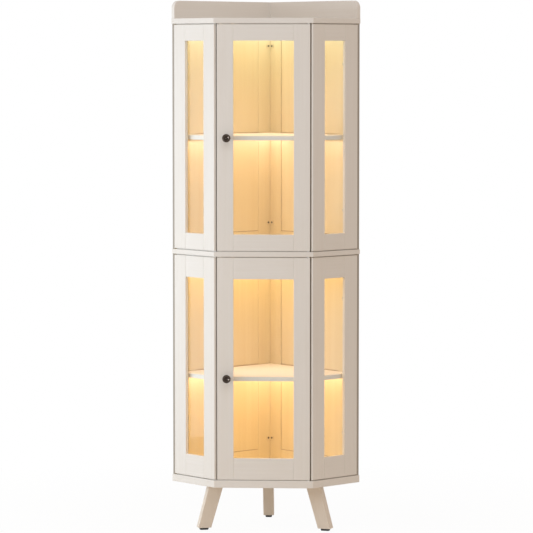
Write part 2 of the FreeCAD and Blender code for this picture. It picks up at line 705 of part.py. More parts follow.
def corner_bracket(z):
    """One angle bracket in the rear corner, and its two screws."""
    inside = WALL_LENGTH - POST_THICKNESS
    half = BRACKET_WIDTH / 2.0
    leg = box(
        inside - BRACKET_LEG, inside, POST_THICKNESS, POST_THICKNESS + BRACKET_THICKNESS, z - half, z + half
    )
    round_ends = [
        edge for edge in edges_at(leg, "x", inside - BRACKET_LEG)
        if edge.Length < BRACKET_THICKNESS + 1e-6
    ]
    leg = on_wall(one(leg.makeFillet(half * 0.6, round_ends)))
    face = POST_THICKNESS + BRACKET_THICKNESS
    spot = Vector(inside - BRACKET_SCREW_OFFSET, face, z)
    shank = rod(
        BRACKET_SCREW_RADIUS, spot, Vector(0, -1, 0), BRACKET_THICKNESS + BRACKET_SCREW_DEPTH
    )
    head = rod(BRACKET_SCREW_HEAD_RADIUS, spot, Vector(0, 1, 0), BRACKET_SCREW_HEAD)
    head = eased(head, BRACKET_SCREW_HEAD * 0.6, "y", face + BRACKET_SCREW_HEAD)
    screw = on_wall(one(shank.fuse(head)))
    hole = on_wall(rod(BRACKET_SCREW_RADIUS + SEAT_FIT, spot, Vector(0, -1, 0), BRACKET_THICKNESS))
    screws = [screw, mirrored(screw)]
    angle = one(leg.fuse(mirrored(leg)).removeSplitter().cut([hole, mirrored(hole)]))
    return angle, screws


# Shelves and lights


def wall_point(u, v):
    """A plan point given along the right wall from its outer corner, and inward from the wall."""
    return (
        HALF_WIDTH - (u + v) * HALF_DIAGONAL,
        OUTER_Y + (u - v) * HALF_DIAGONAL,
    )


def shelf_plan():
    """The shelf's outline: clear of the frames in front, notched round the posts at the rear."""
    frame_back = BOARD_OVERHANG + FRAME_THICKNESS + SHELF_FRONT_ROOM
    front_y = FRONT_Y + frame_back
    front_x = HALF_FRONT + frame_back - frame_back / HALF_DIAGONAL
    wall = WALL_BOARD + SHELF_WALL_ROOM
    post = POST_THICKNESS + SHELF_WALL_ROOM
    notch = WALL_LENGTH - POST_THICKNESS - POST_WIDTH - SHELF_WALL_ROOM
    right = [
        (front_x, front_y), wall_point(frame_back, wall), wall_point(notch, wall), wall_point(notch, post),
    ]
    corner = [(0.0, REAR_Y - post / HALF_DIAGONAL)]
    return right + corner + [(-x, y) for x, y in reversed(right)]


def shelf(section):
    """A shelf board with its front edges eased."""
    top = section.shelf
    body = prism(shelf_plan(), top - SHELF_THICKNESS, top)
    shown = [
        edge for edge in edges_at(body, "z", top) + edges_at(body, "z", top - SHELF_THICKNESS)
        if edge.CenterOfMass.y < OUTER_Y
    ]
    return one(body.makeFillet(BOARD_EASE, shown))


def shelf_pin(face, room, z):
    """A pin drawn along y from a face: a round tenon in the wood, and a peg with a flat top."""
    tenon_end = Vector(0, face - SHELF_PIN_TENON, z)
    pin = rod(SHELF_PIN_TENON_RADIUS, tenon_end, Vector(0, 1, 0), SHELF_PIN_TENON)
    peg = rod(SHELF_PIN_RADIUS, Vector(0, face, z), Vector(0, 1, 0), room + SHELF_PIN_HOLD)
    above = box(-10.0, 10.0, face, face + room + SHELF_PIN_HOLD, z + SHELF_PIN_FLAT, z + 10.0)
    return one(pin.fuse(peg.cut(above)))


def shelf_pins(section):
    """Six pins under a shelf: on both posts, both wall stiles and the inner stile of both windows."""
    z = section.shelf - SHELF_THICKNESS - SHELF_PIN_FLAT
    on_post = shelf_pin(POST_THICKNESS, SHELF_WALL_ROOM, z)
    on_post.translate(Vector(WALL_LENGTH - POST_THICKNESS - POST_PIN_FROM_CORNER, 0, 0))
    on_stile = shelf_pin(WALL_BOARD, SHELF_WALL_ROOM, z)
    on_stile.translate(Vector(BOARD_OVERHANG + FRAME_THICKNESS + WALL_PIN_FROM_FRAME, 0, 0))
    on_window = shelf_pin(BOARD_OVERHANG + FRAME_THICKNESS, SHELF_FRONT_ROOM, z)
    on_window.translate(Vector(FACET_START + WINDOW_PIN_FROM_CORNER, 0, 0))
    right = [on_wall(on_post), on_wall(on_stile), on_facet(on_window)]
    return right + [mirrored(pin) for pin in right]


def light(z):
    """A puck light under a surface at height z: a tapered housing and a lens let into it."""
    inside_y = REAR_Y - POST_THICKNESS / HALF_DIAGONAL
    x = (LIGHT_FROM_LEFT_WALL - LIGHT_FROM_RIGHT_WALL) * HALF_DIAGONAL
    y = inside_y - (LIGHT_FROM_LEFT_WALL + LIGHT_FROM_RIGHT_WALL) * HALF_DIAGONAL
    low = z - LIGHT_HEIGHT
    housing = Part.makeCone(LIGHT_RADIUS * 0.9, LIGHT_RADIUS, LIGHT_HEIGHT, Vector(x, y, low), UP)
    rim = [edge for edge in housing.Edges if abs(edge.CenterOfMass.z - low) < 1e-6 and edge.Closed]
    housing = one(housing.makeFillet(1.5, rim))
    lens_low = low - LIGHT_LENS_DROP
    lens = rod(LIGHT_LENS_RADIUS, Vector(x, y, lens_low), UP, LIGHT_LENS_THICKNESS)
    lens = eased(lens, LIGHT_LENS_DROP * 0.8, "z", lens_low)
    seat = rod(LIGHT_LENS_RADIUS + SEAT_FIT, Vector(x, y, lens_low), UP, LIGHT_LENS_THICKNESS)
    return one(housing.cut(seat)), lens


# Legs


def legs():
    """Tapered legs leaning out in one plane each, their bolts and their glides."""
    bolts = []
    glides = []
    head_z = GLIDE_HEIGHT + LEG_HEIGHT
    lean = leg_lean()
    for name, degrees, x, y in leg_placements():
        profile = [
            Vector(-LEG_BOTTOM_WIDTH / 2.0, -LEG_THICKNESS / 2.0, GLIDE_HEIGHT),
            Vector(LEG_BOTTOM_WIDTH / 2.0, -LEG_THICKNESS / 2.0, GLIDE_HEIGHT),
            Vector(LEG_TOP_WIDTH / 2.0 - lean, -LEG_THICKNESS / 2.0, head_z),
            Vector(-LEG_TOP_WIDTH / 2.0 - lean, -LEG_THICKNESS / 2.0, head_z),
        ]
        face = Part.Face(Part.makePolygon(profile + profile[:1]))
        leg = face.extrude(Vector(0, LEG_THICKNESS, 0))
        arrises = [edge for edge in leg.Edges if abs(edge.Vertexes[0].Z - edge.Vertexes[-1].Z) > 1.0]
        leg = one(leg.makeFillet(LEG_EASE, arrises))
        glide = foot_glide()
        holes = [rod(GLIDE_STEM_RADIUS + SEAT_FIT, Vector(0, 0, GLIDE_HEIGHT), UP, GLIDE_STEM)]
        for s, t in leg_bolt_places():
            bolt = leg_bolt(s, t)
            holes.append(
                rod(LEG_BOLT_RADIUS + SEAT_FIT, Vector(s, t, head_z), Vector(0, 0, -1), LEG_BOLT_IN_LEG)
            )
            bolts.append(placed(bolt, degrees, x, y))
        add(name, placed(one(leg.cut(holes)), degrees, x, y))
        glides.append(placed(glide, degrees, x, y))
    add("leg_bolts", *bolts)
    add("foot_glides", *glides)


def leg_bolt(s, t):
    """A bolt from inside the cabinet down through the bottom board into the head of a leg."""
    low = GLIDE_HEIGHT + LEG_HEIGHT - LEG_BOLT_IN_LEG
    reach = LEG_BOLT_IN_LEG + BOTTOM_BOARD - LEG_BOLT_HEAD
    shank = rod(LEG_BOLT_RADIUS, Vector(s, t, low), UP, reach)
    head = rod(LEG_BOLT_HEAD_RADIUS, Vector(s, t, low + reach), UP, LEG_BOLT_HEAD)
    head = eased(head, LEG_BOLT_HEAD * 0.4, "z", low + reach + LEG_BOLT_HEAD)
    return one(shank.fuse(head))


def oblong(length, width, radius, z):
    """A rectangle with rounded corners about the upright axis."""
    x = length / 2.0
    y = width / 2.0
    block = box(-x, x, -y, y, z, z + 1.0)
    rounded = block.makeFillet(radius, [edge for edge in block.Edges if abs(edge.Length - 1.0) < 1e-6])
    return min(rounded.Faces, key=lambda face: face.CenterOfMass.z).OuterWire


def foot_glide():
    """An oblong pad that narrows to the floor, with a stem up into the leg."""
    foot = oblong(
        GLIDE_LENGTH - 2.0 * GLIDE_TAPER, GLIDE_WIDTH - 2.0 * GLIDE_TAPER,
        GLIDE_CORNER_RADIUS - GLIDE_TAPER, 0.0,
    )
    head = oblong(GLIDE_LENGTH, GLIDE_WIDTH, GLIDE_CORNER_RADIUS, GLIDE_HEIGHT)
    pad = Part.makeLoft([foot, head], True, True)
    stem = rod(GLIDE_STEM_RADIUS, Vector(0, 0, GLIDE_HEIGHT), UP, GLIDE_STEM)
    return one(pad.fuse(stem))


def build():
    """Make every node."""
    boards()
    add("gallery_right", gallery(WALL_LENGTH - GALLERY_THICKNESS))
    add("gallery_left", mirrored(gallery(WALL_LENGTH)))
    clips = []
    brackets = []
    bracket_screws = []
    pins = []
    lights = []
    bushes = []
    for section in SECTIONS:
        clips += windows(section)
        back_walls(section)
        door(section)
        add(section.name + "_shelf", shelf(section))
        pins += shelf_pins(section)
        for z in bracket_heights(section):
            angle, screws = corner_bracket(z)
            brackets.append(angle)
            bracket_screws += screws
        lights += [light(section.ceiling), light(section.shelf - SHELF_THICKNESS)]
        bushes += [pivot_bush(section.floor, -1), pivot_bush(section.ceiling, 1)]
    add("window_glass_clips", *clips)
    add("corner_brackets", *brackets)
    add("corner_bracket_screws", *bracket_screws)
    add("shelf_pins", *pins)
    add("light_housings", *[housing for housing, lens in lights])
    add("light_lenses", *[lens for housing, lens in lights])
    add("pivot_bushes", *bushes)
    add("magnetic_catches", *[catch(section) for section in SECTIONS])
    legs()


build()
os.makedirs("parts", exist_ok=True)
for name, solids in nodes.items():
    shape = solids[0] if len(solids) == 1 else Part.makeCompound(solids)
    shape.exportStep("parts/" + name + ".step")
print(len(nodes), "nodes")
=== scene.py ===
# %% [markdown]
# # A lit corner display cabinet
#
# The cabinet is a tall five-sided case that stands in the corner of a room: two glazed doors one over
# the other, a glazed facet at each side, shelves, and small warm lights over the shelves. Nearly every
# piece comes from the construction model, so this lesson is about the picture: the camera, the light,
# the paint and glass, the few turned pieces that want smoother surfaces, and some thin trim.

# %% Load the cabinet
import math

import bpy
import numpy as np
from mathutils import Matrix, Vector


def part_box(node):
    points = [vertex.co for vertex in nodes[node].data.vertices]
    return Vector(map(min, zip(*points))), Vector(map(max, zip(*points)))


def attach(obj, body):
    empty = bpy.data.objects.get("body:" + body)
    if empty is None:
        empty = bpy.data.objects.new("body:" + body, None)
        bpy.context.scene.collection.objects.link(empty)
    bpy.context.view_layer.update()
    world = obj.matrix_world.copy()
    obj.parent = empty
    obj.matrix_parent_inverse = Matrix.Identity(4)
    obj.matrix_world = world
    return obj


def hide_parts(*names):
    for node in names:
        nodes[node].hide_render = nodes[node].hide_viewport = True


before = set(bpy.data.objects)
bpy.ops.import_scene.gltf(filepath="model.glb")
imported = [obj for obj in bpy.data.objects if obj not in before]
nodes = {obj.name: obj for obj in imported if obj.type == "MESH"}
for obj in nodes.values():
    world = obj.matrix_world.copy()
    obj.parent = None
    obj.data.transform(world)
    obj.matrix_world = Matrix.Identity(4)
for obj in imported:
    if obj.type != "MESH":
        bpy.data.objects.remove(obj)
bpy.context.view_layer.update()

# %% [markdown]
# ## The camera
#
# The picture was taken from far away with a long lens, a little to the right and from about eye
# height. The place, the two angles and the lens were found by fitting the corners of the boards and
# the doors to the picture. A long lens keeps the uprights nearly parallel, so no lens shift is needed.

# %% Camera
CAMERA_PLACE = (0.4966, -9.7780, 1.5986)
CAMERA_TURN_LEFT = math.radians(2.9145)
CAMERA_LOOK_DOWN = math.radians(4.1555)
CAMERA_LENS = 193.36
CAMERA_SENSOR = 36.0
CAMERA_SIGHT = 60.0

camera_data = bpy.data.cameras.new("camera")
camera_data.lens = CAMERA_LENS
camera_data.sensor_width = CAMERA_SENSOR
camera_data.clip_end = CAMERA_SIGHT
camera = bpy.data.objects.new("camera", camera_data)
camera.location = CAMERA_PLACE
camera.rotation_euler = (math.pi / 2.0 - CAMERA_LOOK_DOWN, 0.0, CAMERA_TURN_LEFT)
bpy.context.scene.collection.objects.link(camera)
bpy.context.scene.camera = camera
print("camera", CAMERA_LENS, "mm at", CAMERA_PLACE)

# %% [markdown]
# ## Nodes in one line
#
# A material is a small graph. Making each node takes several lines by hand, so one helper makes a
# node, sets its options and fills its sockets. A value that is itself a socket becomes a link. The
# helpers after it make the nodes that come back in almost every finish: noise of a given size, a value
# stretched to another span, a calculation with two values and a mix of two colours. Noise seldom leaves
# the span from 0.3 to 0.7, so that is what is stretched. Other ends give more of one tone and less of
# the other.

# %% Helpers for material nodes
WHITE = (1.0, 1.0, 1.0, 1.0)
NOISE_SPAN = (0.3, 0.7)


def add_node(tree, kind, options=None, **sockets):
    """Make one node: options are its own settings, sockets are filled by name or by n and a number."""
    node = tree.nodes.new("ShaderNode" + kind)
    for key, value in (options or {}).items():
        setattr(node, key, value)
    for key, value in sockets.items():
        name = key.replace("_", " ")
        socket = node.inputs[int(name[1:])] if name[0] == "n" and name[1:].isdigit() else node.inputs[name]
        if isinstance(value, bpy.types.NodeSocket):
            tree.links.new(value, socket)
        else:
            socket.default_value = value
    return node


def new_material(name):
    """A material with an empty graph and its output node."""
    material = bpy.data.materials.new(name)
    material.use_nodes = True
    material.node_tree.nodes.clear()
    return material, material.node_tree, add_node(material.node_tree, "OutputMaterial")


def sized(tree, sizes, turn=0.0):
    """Object coordinates divided by feature sizes in metres, one or three, after a turn about z."""
    place = add_node(tree, "TexCoord").outputs["Object"]
    scale = (sizes,) * 3 if isinstance(sizes, float) else sizes
    return add_node(
        tree, "Mapping", {"vector_type": "TEXTURE"}, Vector=place, Rotation=(0.0, 0.0, turn), Scale=scale
    ).outputs["Vector"]


def noise(tree, sizes, turn=0.0, detail=2.0, roughness=0.5):
    """Soft noise from 0 to 1 whose features have the given sizes."""
    return add_node(
        tree, "TexNoise", Vector=sized(tree, sizes, turn), Scale=1.0, Detail=detail, Roughness=roughness
    ).outputs["Fac"]


def remap(tree, value, low, high, to_low, to_high):
    """to_low + (value - low) / (high - low) * (to_high - to_low), held between those two ends."""
    return add_node(
        tree, "MapRange", Value=value, From_Min=low, From_Max=high, To_Min=to_low, To_Max=to_high
    ).outputs["Result"]


def combined(tree, operation, first, second=0.0):
    """One calculation with two numbers, such as their product or the greater of them."""
    return add_node(tree, "Math", {"operation": operation}, n0=first, n1=second).outputs[0]


def mixed(tree, share, first, second):
    """The colour first * (1 - share) + second * share, by the numbers of the node's colour sockets."""
    first, second = (c if isinstance(c, bpy.types.NodeSocket) else (*c, 1.0) for c in (first, second))
    return add_node(tree, "Mix", {"data_type": "RGBA"}, n0=share, n6=first, n7=second).outputs[2]


def scaled(colour, share):
    """Each level of a colour times a share."""
    return tuple(share * level for level in colour)


print("node helpers ready")

# %% [markdown]
# ## The studio floor
#
# The floor is one large flat sheet that takes the shadow and runs on far behind the cabinet. A wall
# behind it is not needed, and would hide the cabinet from a camera at the back.

# %% Studio floor
FLOOR_HALF_SIZE = 14.0
FLOOR_LINES = 9


def mesh_from_grid(name, points):
    """A mesh from points on an open grid (rows, columns, 3), four neighbours to a face."""
    index = np.arange(points.shape[0] * points.shape[1]).reshape(points.shape[:2])
    quads = np.stack([index[:-1, :-1], index[:-1, 1:], index[1:, 1:], index[1:, :-1]], axis=-1)
    mesh = bpy.data.meshes.new(name)
    mesh.from_pydata(points.reshape(-1, 3).tolist(), [], quads.reshape(-1, 4).tolist())
    return mesh


line = np.linspace(-FLOOR_HALF_SIZE, FLOOR_HALF_SIZE, FLOOR_LINES)
across, along = np.meshgrid(line, line)
floor_mesh = mesh_from_grid("studio_floor", np.stack([across, along, np.zeros_like(across)], axis=-1))
floor_sheet = bpy.data.objects.new("studio_floor", floor_mesh)
bpy.context.scene.collection.objects.link(floor_sheet)
print("floor of", 2.0 * FLOOR_HALF_SIZE, "m")

# %% [markdown]
# ## White paper
#
# Studio paper is matt, with a faint mottle of fibres. Most of what the camera sees of it is a plain
# white glow, so it runs into the white world without an edge, and the little that is left takes the
# shadow. The node Light Path tells what kind of ray asks: one that is seen gets the glow, and one that
# carries light gets the matt sheet, which throws a warm light up at the cabinet.

# %% Paper on the floor
PAPER = (0.82, 0.77, 0.70)
PAPER_FIBRE = 0.004
FIBRE_LEVEL = 0.985
PAPER_GLOW_NEAR, PAPER_GLOW_FAR = 0.96, 1.0
PAPER_NEAR, PAPER_FAR = 0.5, 1.6


def is_seen(tree):
    """1 for a ray from the camera, a mirror or a glass, else 0: the greatest of the three flags."""
    path = add_node(tree, "LightPath")
    seen = combined(tree, "MAXIMUM", path.outputs["Is Camera Ray"], path.outputs["Is Glossy Ray"])
    return combined(tree, "MAXIMUM", seen, path.outputs["Is Transmission Ray"])


paper, tree, output = new_material("white_paper")
mottle = remap(tree, noise(tree, PAPER_FIBRE), *NOISE_SPAN, 0.0, 1.0)
matt = add_node(tree, "BsdfDiffuse", Color=mixed(tree, mottle, PAPER, scaled(PAPER, FIBRE_LEVEL)))
glow = add_node(tree, "Emission", Color=WHITE, Strength=1.0)
far = add_node(tree, "VectorMath", {"operation": "LENGTH"}, n0=add_node(tree, "TexCoord").outputs["Object"])
fade = remap(tree, far.outputs["Value"], PAPER_NEAR, PAPER_FAR, PAPER_GLOW_NEAR, PAPER_GLOW_FAR)
bright = add_node(tree, "MixShader", Fac=fade, n1=matt.outputs[0], n2=glow.outputs[0])
shown = add_node(tree, "MixShader", Fac=is_seen(tree), n1=matt.outputs[0], n2=bright.outputs[0])
tree.links.new(shown.outputs[0], output.inputs["Surface"])
floor_sheet.data.materials.append(paper)
print("paper glows", PAPER_GLOW_NEAR, "near the cabinet and", PAPER_GLOW_FAR, "far from it")

# %% [markdown]
# ## Air and background
#
# The world has two jobs. Behind the cabinet it is plain white, and for everything that it lights it is
# the soft warm light that comes from all round in a pale room. The same question to Light Path as for
# the paper keeps the two apart.

# %% World
ROOM_LIGHT = (0.604, 0.514, 0.447)

world = bpy.data.worlds.new("studio_air")
world.use_nodes = True
bpy.context.scene.world = world
tree = world.node_tree
tree.nodes.clear()
air = add_node(tree, "Background", Color=(*ROOM_LIGHT, 1.0), Strength=1.0)
white = add_node(tree, "Background", Color=WHITE, Strength=1.0)
both = add_node(tree, "MixShader", Fac=is_seen(tree), n1=air.outputs[0], n2=white.outputs[0])
tree.links.new(both.outputs[0], add_node(tree, "OutputWorld").inputs["Surface"])
print("room light", ROOM_LIGHT)

# %% [markdown]
# ## Studio lamps
#
# Two tall panels stand in an arc at the left like windows, so the left facet is the palest and the
# right one the warmest. They are lower than the cabinet, so the inner faces of the gallery stay in its
# shade. A softbox hangs high in front and reaches in through the glass to the shelves. A low panel
# behind keeps the back walls as pale as they are painted. Of these only the front window shows in
# mirrors. A white board at the far left gives no light and is there only to be mirrored: it veils the
# left glass. A panel that glows with a radiance L over an area A takes pi * L * A watts.

# %% Window panels, softbox, back panel and white board
WINDOW_LIGHT = (2.95, 3.60, 4.24)
WINDOW_ARC = (-5.0, 50.0)
WINDOW_PANELS = 2
WINDOW_DISTANCE = 2.6
WINDOW_FOOT, WINDOW_TOP = 0.60, 1.62
SOFTBOX_LIGHT = (1.21, 1.46, 1.79)
SOFTBOX_PLACE = (0.0, -2.1, 3.6)
SOFTBOX_AIM = (0.0, 0.0, 1.1)
SOFTBOX_SIZE = (2.4, 1.2)
BACK_LIGHT = (1.6, 1.9, 2.2)
BACK_PLACE = (0.0, 3.0, 1.15)
BACK_SIZE = (2.6, 1.1)
BOARD_LIGHT = (1.6, 1.6, 1.6)
BOARD_PLACE = (-2.6, 0.03, 1.0)
BOARD_SIZE = (0.55, 2.0)


def panel_lamp(name, place, size, radiance, shines=True, mirrored=False):
    """A flat lamp that shines down, of pi * radiance * area watts: it gives light, is mirrored, or both."""
    data = bpy.data.lights.new(name, "AREA")
    data.shape = "RECTANGLE"
    data.size, data.size_y = size
    data.energy = math.pi * size[0] * size[1] * max(radiance)
    data.color = [level / max(radiance) for level in radiance]
    lamp = bpy.data.objects.new(name, data)
    lamp.location = place
    lamp.visible_camera = False
    lamp.visible_transmission = False
    lamp.visible_glossy = mirrored
    lamp.visible_diffuse = shines
    bpy.context.scene.collection.objects.link(lamp)
    return lamp


def aimed(lamp, target):
    """Turn a lamp so that it shines at a point: its own -z looks from its place to the target."""
    lamp.rotation_euler = (Vector(target) - lamp.location).to_track_quat("-Z", "Y").to_euler()


def window_arc():
    """Upright panels side by side on an arc round the cabinet, angles from the left toward the front.

    A panel that spans twice an angle at a distance is 2 * distance * tan(angle) wide.
    """
    middle = (WINDOW_FOOT + WINDOW_TOP) / 2.0
    half_angle = math.radians(WINDOW_ARC[1] - WINDOW_ARC[0]) / (2 * WINDOW_PANELS)
    size = (2.0 * WINDOW_DISTANCE * math.tan(half_angle), WINDOW_TOP - WINDOW_FOOT)
    angles = np.radians(np.linspace(*WINDOW_ARC, 2 * WINDOW_PANELS + 1)[1::2]).tolist()
    for number, angle in enumerate(angles, 1):
        place = (-WINDOW_DISTANCE * math.cos(angle), -WINDOW_DISTANCE * math.sin(angle), middle)
        lamp = panel_lamp(f"window_{number}", place, size, WINDOW_LIGHT, mirrored=number == WINDOW_PANELS)
        aimed(lamp, (0.0, 0.0, middle))
    print(WINDOW_PANELS, "window panels of", [round(side, 2) for side in size], "m")


window_arc()
aimed(panel_lamp("softbox", SOFTBOX_PLACE, SOFTBOX_SIZE, SOFTBOX_LIGHT), SOFTBOX_AIM)
aimed(panel_lamp("back_panel", BACK_PLACE, BACK_SIZE, BACK_LIGHT), (0.0, 0.0, BACK_PLACE[2]))
white_board = panel_lamp("white_board", BOARD_PLACE, BOARD_SIZE, BOARD_LIGHT, shines=False, mirrored=True)
aimed(white_board, (0.0, 0.0, BOARD_PLACE[2]))

# %% [markdown]
# ## The lights in the cabinet
#
# Four puck lights hang under the boards and shelves. In the picture their light fills each compartment
# evenly: palest just under the board, and deeper orange lower down where it has bounced off the cream
# walls. One small lamp would burn a white spot into the nearest wall, so each compartment gets a flat
# sheet of light under its ceiling, a narrower beam for the shelf below, and strips along the walls. The
# plan is a square whose front corner is cut off, so three rectangles in the square's own axes fill it: a
# runs along the right wall from the rear corner, b along the left wall. The levels were found by
# rendering each kind of lamp alone: light adds up, so a sum of those pictures can be fitted.

# %% Sheets of light under the boards and shelves
GLOW_WALL_ROOM = 0.012
GLOW_FACET_ROOM = 0.032
GLOW_SPLIT = 0.205
GLOW_FRONT_TILE = 0.310
GLOW_STRIP = 0.090
GLOW_EDGE = 0.030
GLOW_UNDER_BOARD = 0.042
GLOW_UNDER_SHELF = 0.004
GLOW_STEP = 0.001
BEAM_SPREAD = math.radians(80.0)
PLAN_TURN = math.radians(-45.0)
COS_45 = math.sqrt(0.5)
COMPARTMENT_LIGHT = {
    "top_board": {
        "sheet": (0.68, 0.57, 0.12), "beam": (1.18, 0.72, 0.54), "edges": (0.26, 0.42, 0.55),
        "left_strip": (0.44, 0.53, 0.44), "right_strip": (0.05, 0.17, 0.16),
    },
    "upper_shelf": {
        "sheet": (0.83, 0.47, 0.10), "beam": (0.80, 0.54, 0.30), "edges": (0.25, 0.36, 0.55),
        "left_strip": (1.17, 0.92, 0.70), "right_strip": (0.52, 0.42, 0.33),
    },
    "middle_board": {
        "sheet": (1.29, 0.73, 0.02), "beam": (0.70, 0.54, 0.58), "edges": (0.04, 0.04, 0.02),
        "left_strip": (0.79, 0.63, 0.39), "right_strip": (0.12, 0.10, 0.02),
    },
    "lower_shelf": {
        "sheet": (0.99, 0.50, 0.04), "beam": (0.46, 0.26, 0.02), "edges": (0.71, 0.65, 0.65),
        "left_strip": (1.29, 0.99, 0.67), "right_strip": (1.21, 0.93, 0.63),
    },
}

rear_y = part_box("bottom_board")[1][1]
wall_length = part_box("bottom_board")[1][0] * math.sqrt(2.0)
near, end = GLOW_WALL_ROOM, wall_length - GLOW_FACET_ROOM
sheet_tiles = (
    (near, end, near, GLOW_SPLIT), (near, GLOW_SPLIT, GLOW_SPLIT, end),
    (GLOW_SPLIT, GLOW_FRONT_TILE, GLOW_SPLIT, GLOW_FRONT_TILE),
)
tiles_of = {
    "sheet": sheet_tiles,
    "beam": sheet_tiles,
    "edges": ((near, end, near, near + GLOW_EDGE), (near, near + GLOW_EDGE, near, end)),
    "left_strip": ((near, near + GLOW_STRIP, near, end),),
    "right_strip": ((near, end, near, near + GLOW_STRIP),),
}


def light_tiles(name, kind, height, radiance):
    """Flat lamps over rectangles (a0, a1, b0, b1) of the plan, measured along the two back walls.

    A place (a, b) is x = (a - b) * cos 45 and y = rear - (a + b) * cos 45.
    """
    for number, (a0, a1, b0, b1) in enumerate(tiles_of[kind], 1):
        a, b = (a0 + a1) / 2.0, (b0 + b1) / 2.0
        place = ((a - b) * COS_45, rear_y - (a + b) * COS_45, height)
        lamp = panel_lamp(f"{kind}_under_{name}_{number}", place, (a1 - a0, b1 - b0), radiance)
        lamp.rotation_euler = (0.0, 0.0, PLAN_TURN)
        lamp.data.spread = BEAM_SPREAD if kind == "beam" else math.pi


for name, lamps in COMPARTMENT_LIGHT.items():
    under = GLOW_UNDER_SHELF if "shelf" in name else GLOW_UNDER_BOARD
    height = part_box(name)[0][2] - under
    for step, (kind, radiance) in enumerate(lamps.items()):
        light_tiles(name, kind, height - step * GLOW_STEP, radiance)
    print("lamps under the", name, "at", round(height, 3), "m")

# %% [markdown]
# ## Colours and bumps
#
# A colour is easiest to judge as it looks on a screen, but a renderer reckons in linear light, so one
# helper turns the one into the other. Another lets a height tilt the surface, which is enough for the
# tenths of a millimetre that paint and plating stand up. The last makes the shader of a solid finish.

# %% Helpers for solid finishes


def from_screen(red, green, blue):
    """The linear colour of an 8-bit screen colour: ((v + 0.055) / 1.055) ^ 2.4, or v / 12.92 near black."""
    value = np.array([red, green, blue]) / 255.0
    return tuple(np.where(value > 0.04045, ((value + 0.055) / 1.055) ** 2.4, value / 12.92).tolist())


def bumped(tree, height, depth, strength, below=None):
    """A normal tilted by the slope of a height from 0 to 1, which stands for depth in metres."""
    node = add_node(tree, "Bump", Strength=strength, Distance=depth, Height=height)
    if below is not None:
        tree.links.new(below, node.inputs["Normal"])
    return node.outputs["Normal"]


def solid_finish(tree, output, **sockets):
    """The one shader of a finish that is not see-through, joined to the output."""
    shader = add_node(tree, "BsdfPrincipled", **sockets)
    tree.links.new(shader.outputs[0], output.inputs["Surface"])


print("screen grey 128 is", round(from_screen(128, 128, 128)[0], 3), "in linear light")

# %% [markdown]
# ## Cream paint
#
# Frames, boards and legs carry a satin cream paint. Close to, paint is never one colour: the grain of
# the board shows through as faint long streaks, the film is a little uneven, sprayed paint has a fine
# orange-peel texture, and edges are paler, partly rubbed thinner and partly a painted highlight where a
# rounded edge catches light. The legs take a darker, warmer copy, which is painted shade for the shadow
# under the cabinet, and the shelves a paler copy, which is painted light where the lamps fall on them.
# The streaks are noise stretched along the grain, so each direction of grain is its own material made
# by one function.

# %% Cream paint
CREAM = from_screen(238, 234, 227)
CREAM_SHADE = from_screen(231, 225, 215)
# A paler edge tone: partly rubbed paint, partly a painted highlight on rounded edges.
CREAM_WORN_AND_HIGHLIT = from_screen(243, 240, 235)
# The legs' darker, warmer cream is painted shade: the shadow under the cabinet.
LEG_SHADED_CREAM = from_screen(232, 220, 204)
LEG_SHADED_CREAM_DARK = from_screen(225, 211, 193)
# The shelves' paler, cooler cream is painted light: where lamps and room light fall on their tops.
SHELF_LIT_CREAM = from_screen(241, 238, 233)
SHELF_LIT_CREAM_DARK = from_screen(236, 231, 223)
STREAK_WIDE, STREAK_LONG, STREAK_DEPTH = 0.007, 0.34, 0.00015
FINE_STREAKS = 0.25
CLOUD_SIZES = (0.22, 0.22, 0.30)
PEEL_SIZE, PEEL_DEPTH = 0.0016, 0.00005
EDGE_RADIUS, EDGE_SPAN = 0.0016, (0.80, 0.97)
STREAK_SHARE, CLOUD_SHARE, EDGE_WEAR_AND_HIGHLIGHT_SHARE = 0.45, 0.35, 0.55
PAINT_ROUGHNESS = (0.40, 0.52)
PAINT_MIRROR = 0.40


def cream_paint(name, along, turn=0.0, pale=CREAM, shade=CREAM_SHADE):
    """Satin paint over a board whose grain runs along one axis (0, 1 or 2) after a turn about z.

    Streaks and clouds take the colour from pale to shade. It goes to a paler tone at an edge, partly
    rubbed thinner and partly a painted highlight, where the dot product of a rounded normal and the true
    one is under 1.
    """
    material, tree, output = new_material(name)
    sizes = [STREAK_WIDE] * 3
    sizes[along] = STREAK_LONG
    streaks = noise(tree, sizes, turn, detail=4.0, roughness=0.6)
    fine = noise(tree, [FINE_STREAKS * size for size in sizes], turn)
    cloud = noise(tree, CLOUD_SIZES, turn)
    peel = noise(tree, PEEL_SIZE, detail=1.0)
    colour = mixed(tree, remap(tree, streaks, 0.32, 0.72, 0.0, STREAK_SHARE), pale, shade)
    colour = mixed(tree, remap(tree, cloud, 0.35, 0.75, 0.0, CLOUD_SHARE), colour, shade)
    rounded = add_node(tree, "Bevel", {"samples": 4}, Radius=EDGE_RADIUS).outputs[0]
    facing = add_node(tree, "NewGeometry").outputs["Normal"]
    bend = add_node(tree, "VectorMath", {"operation": "DOT_PRODUCT"}, n0=rounded, n1=facing)
    # Edges turn paler: rubbed paint and a painted highlight where a rounded edge would catch light.
    wear_and_highlight = remap(tree, bend.outputs["Value"], *EDGE_SPAN, EDGE_WEAR_AND_HIGHLIGHT_SHARE, 0.0)
    normal = bumped(tree, streaks, STREAK_DEPTH, strength=0.25)
    solid_finish(
        tree, output, Base_Color=mixed(tree, wear_and_highlight, colour, CREAM_WORN_AND_HIGHLIT), Specular_IOR_Level=PAINT_MIRROR,
        Roughness=remap(tree, fine, *NOISE_SPAN, *PAINT_ROUGHNESS),
        Normal=bumped(tree, peel, PEEL_DEPTH, strength=0.30, below=normal),
    )
    return material


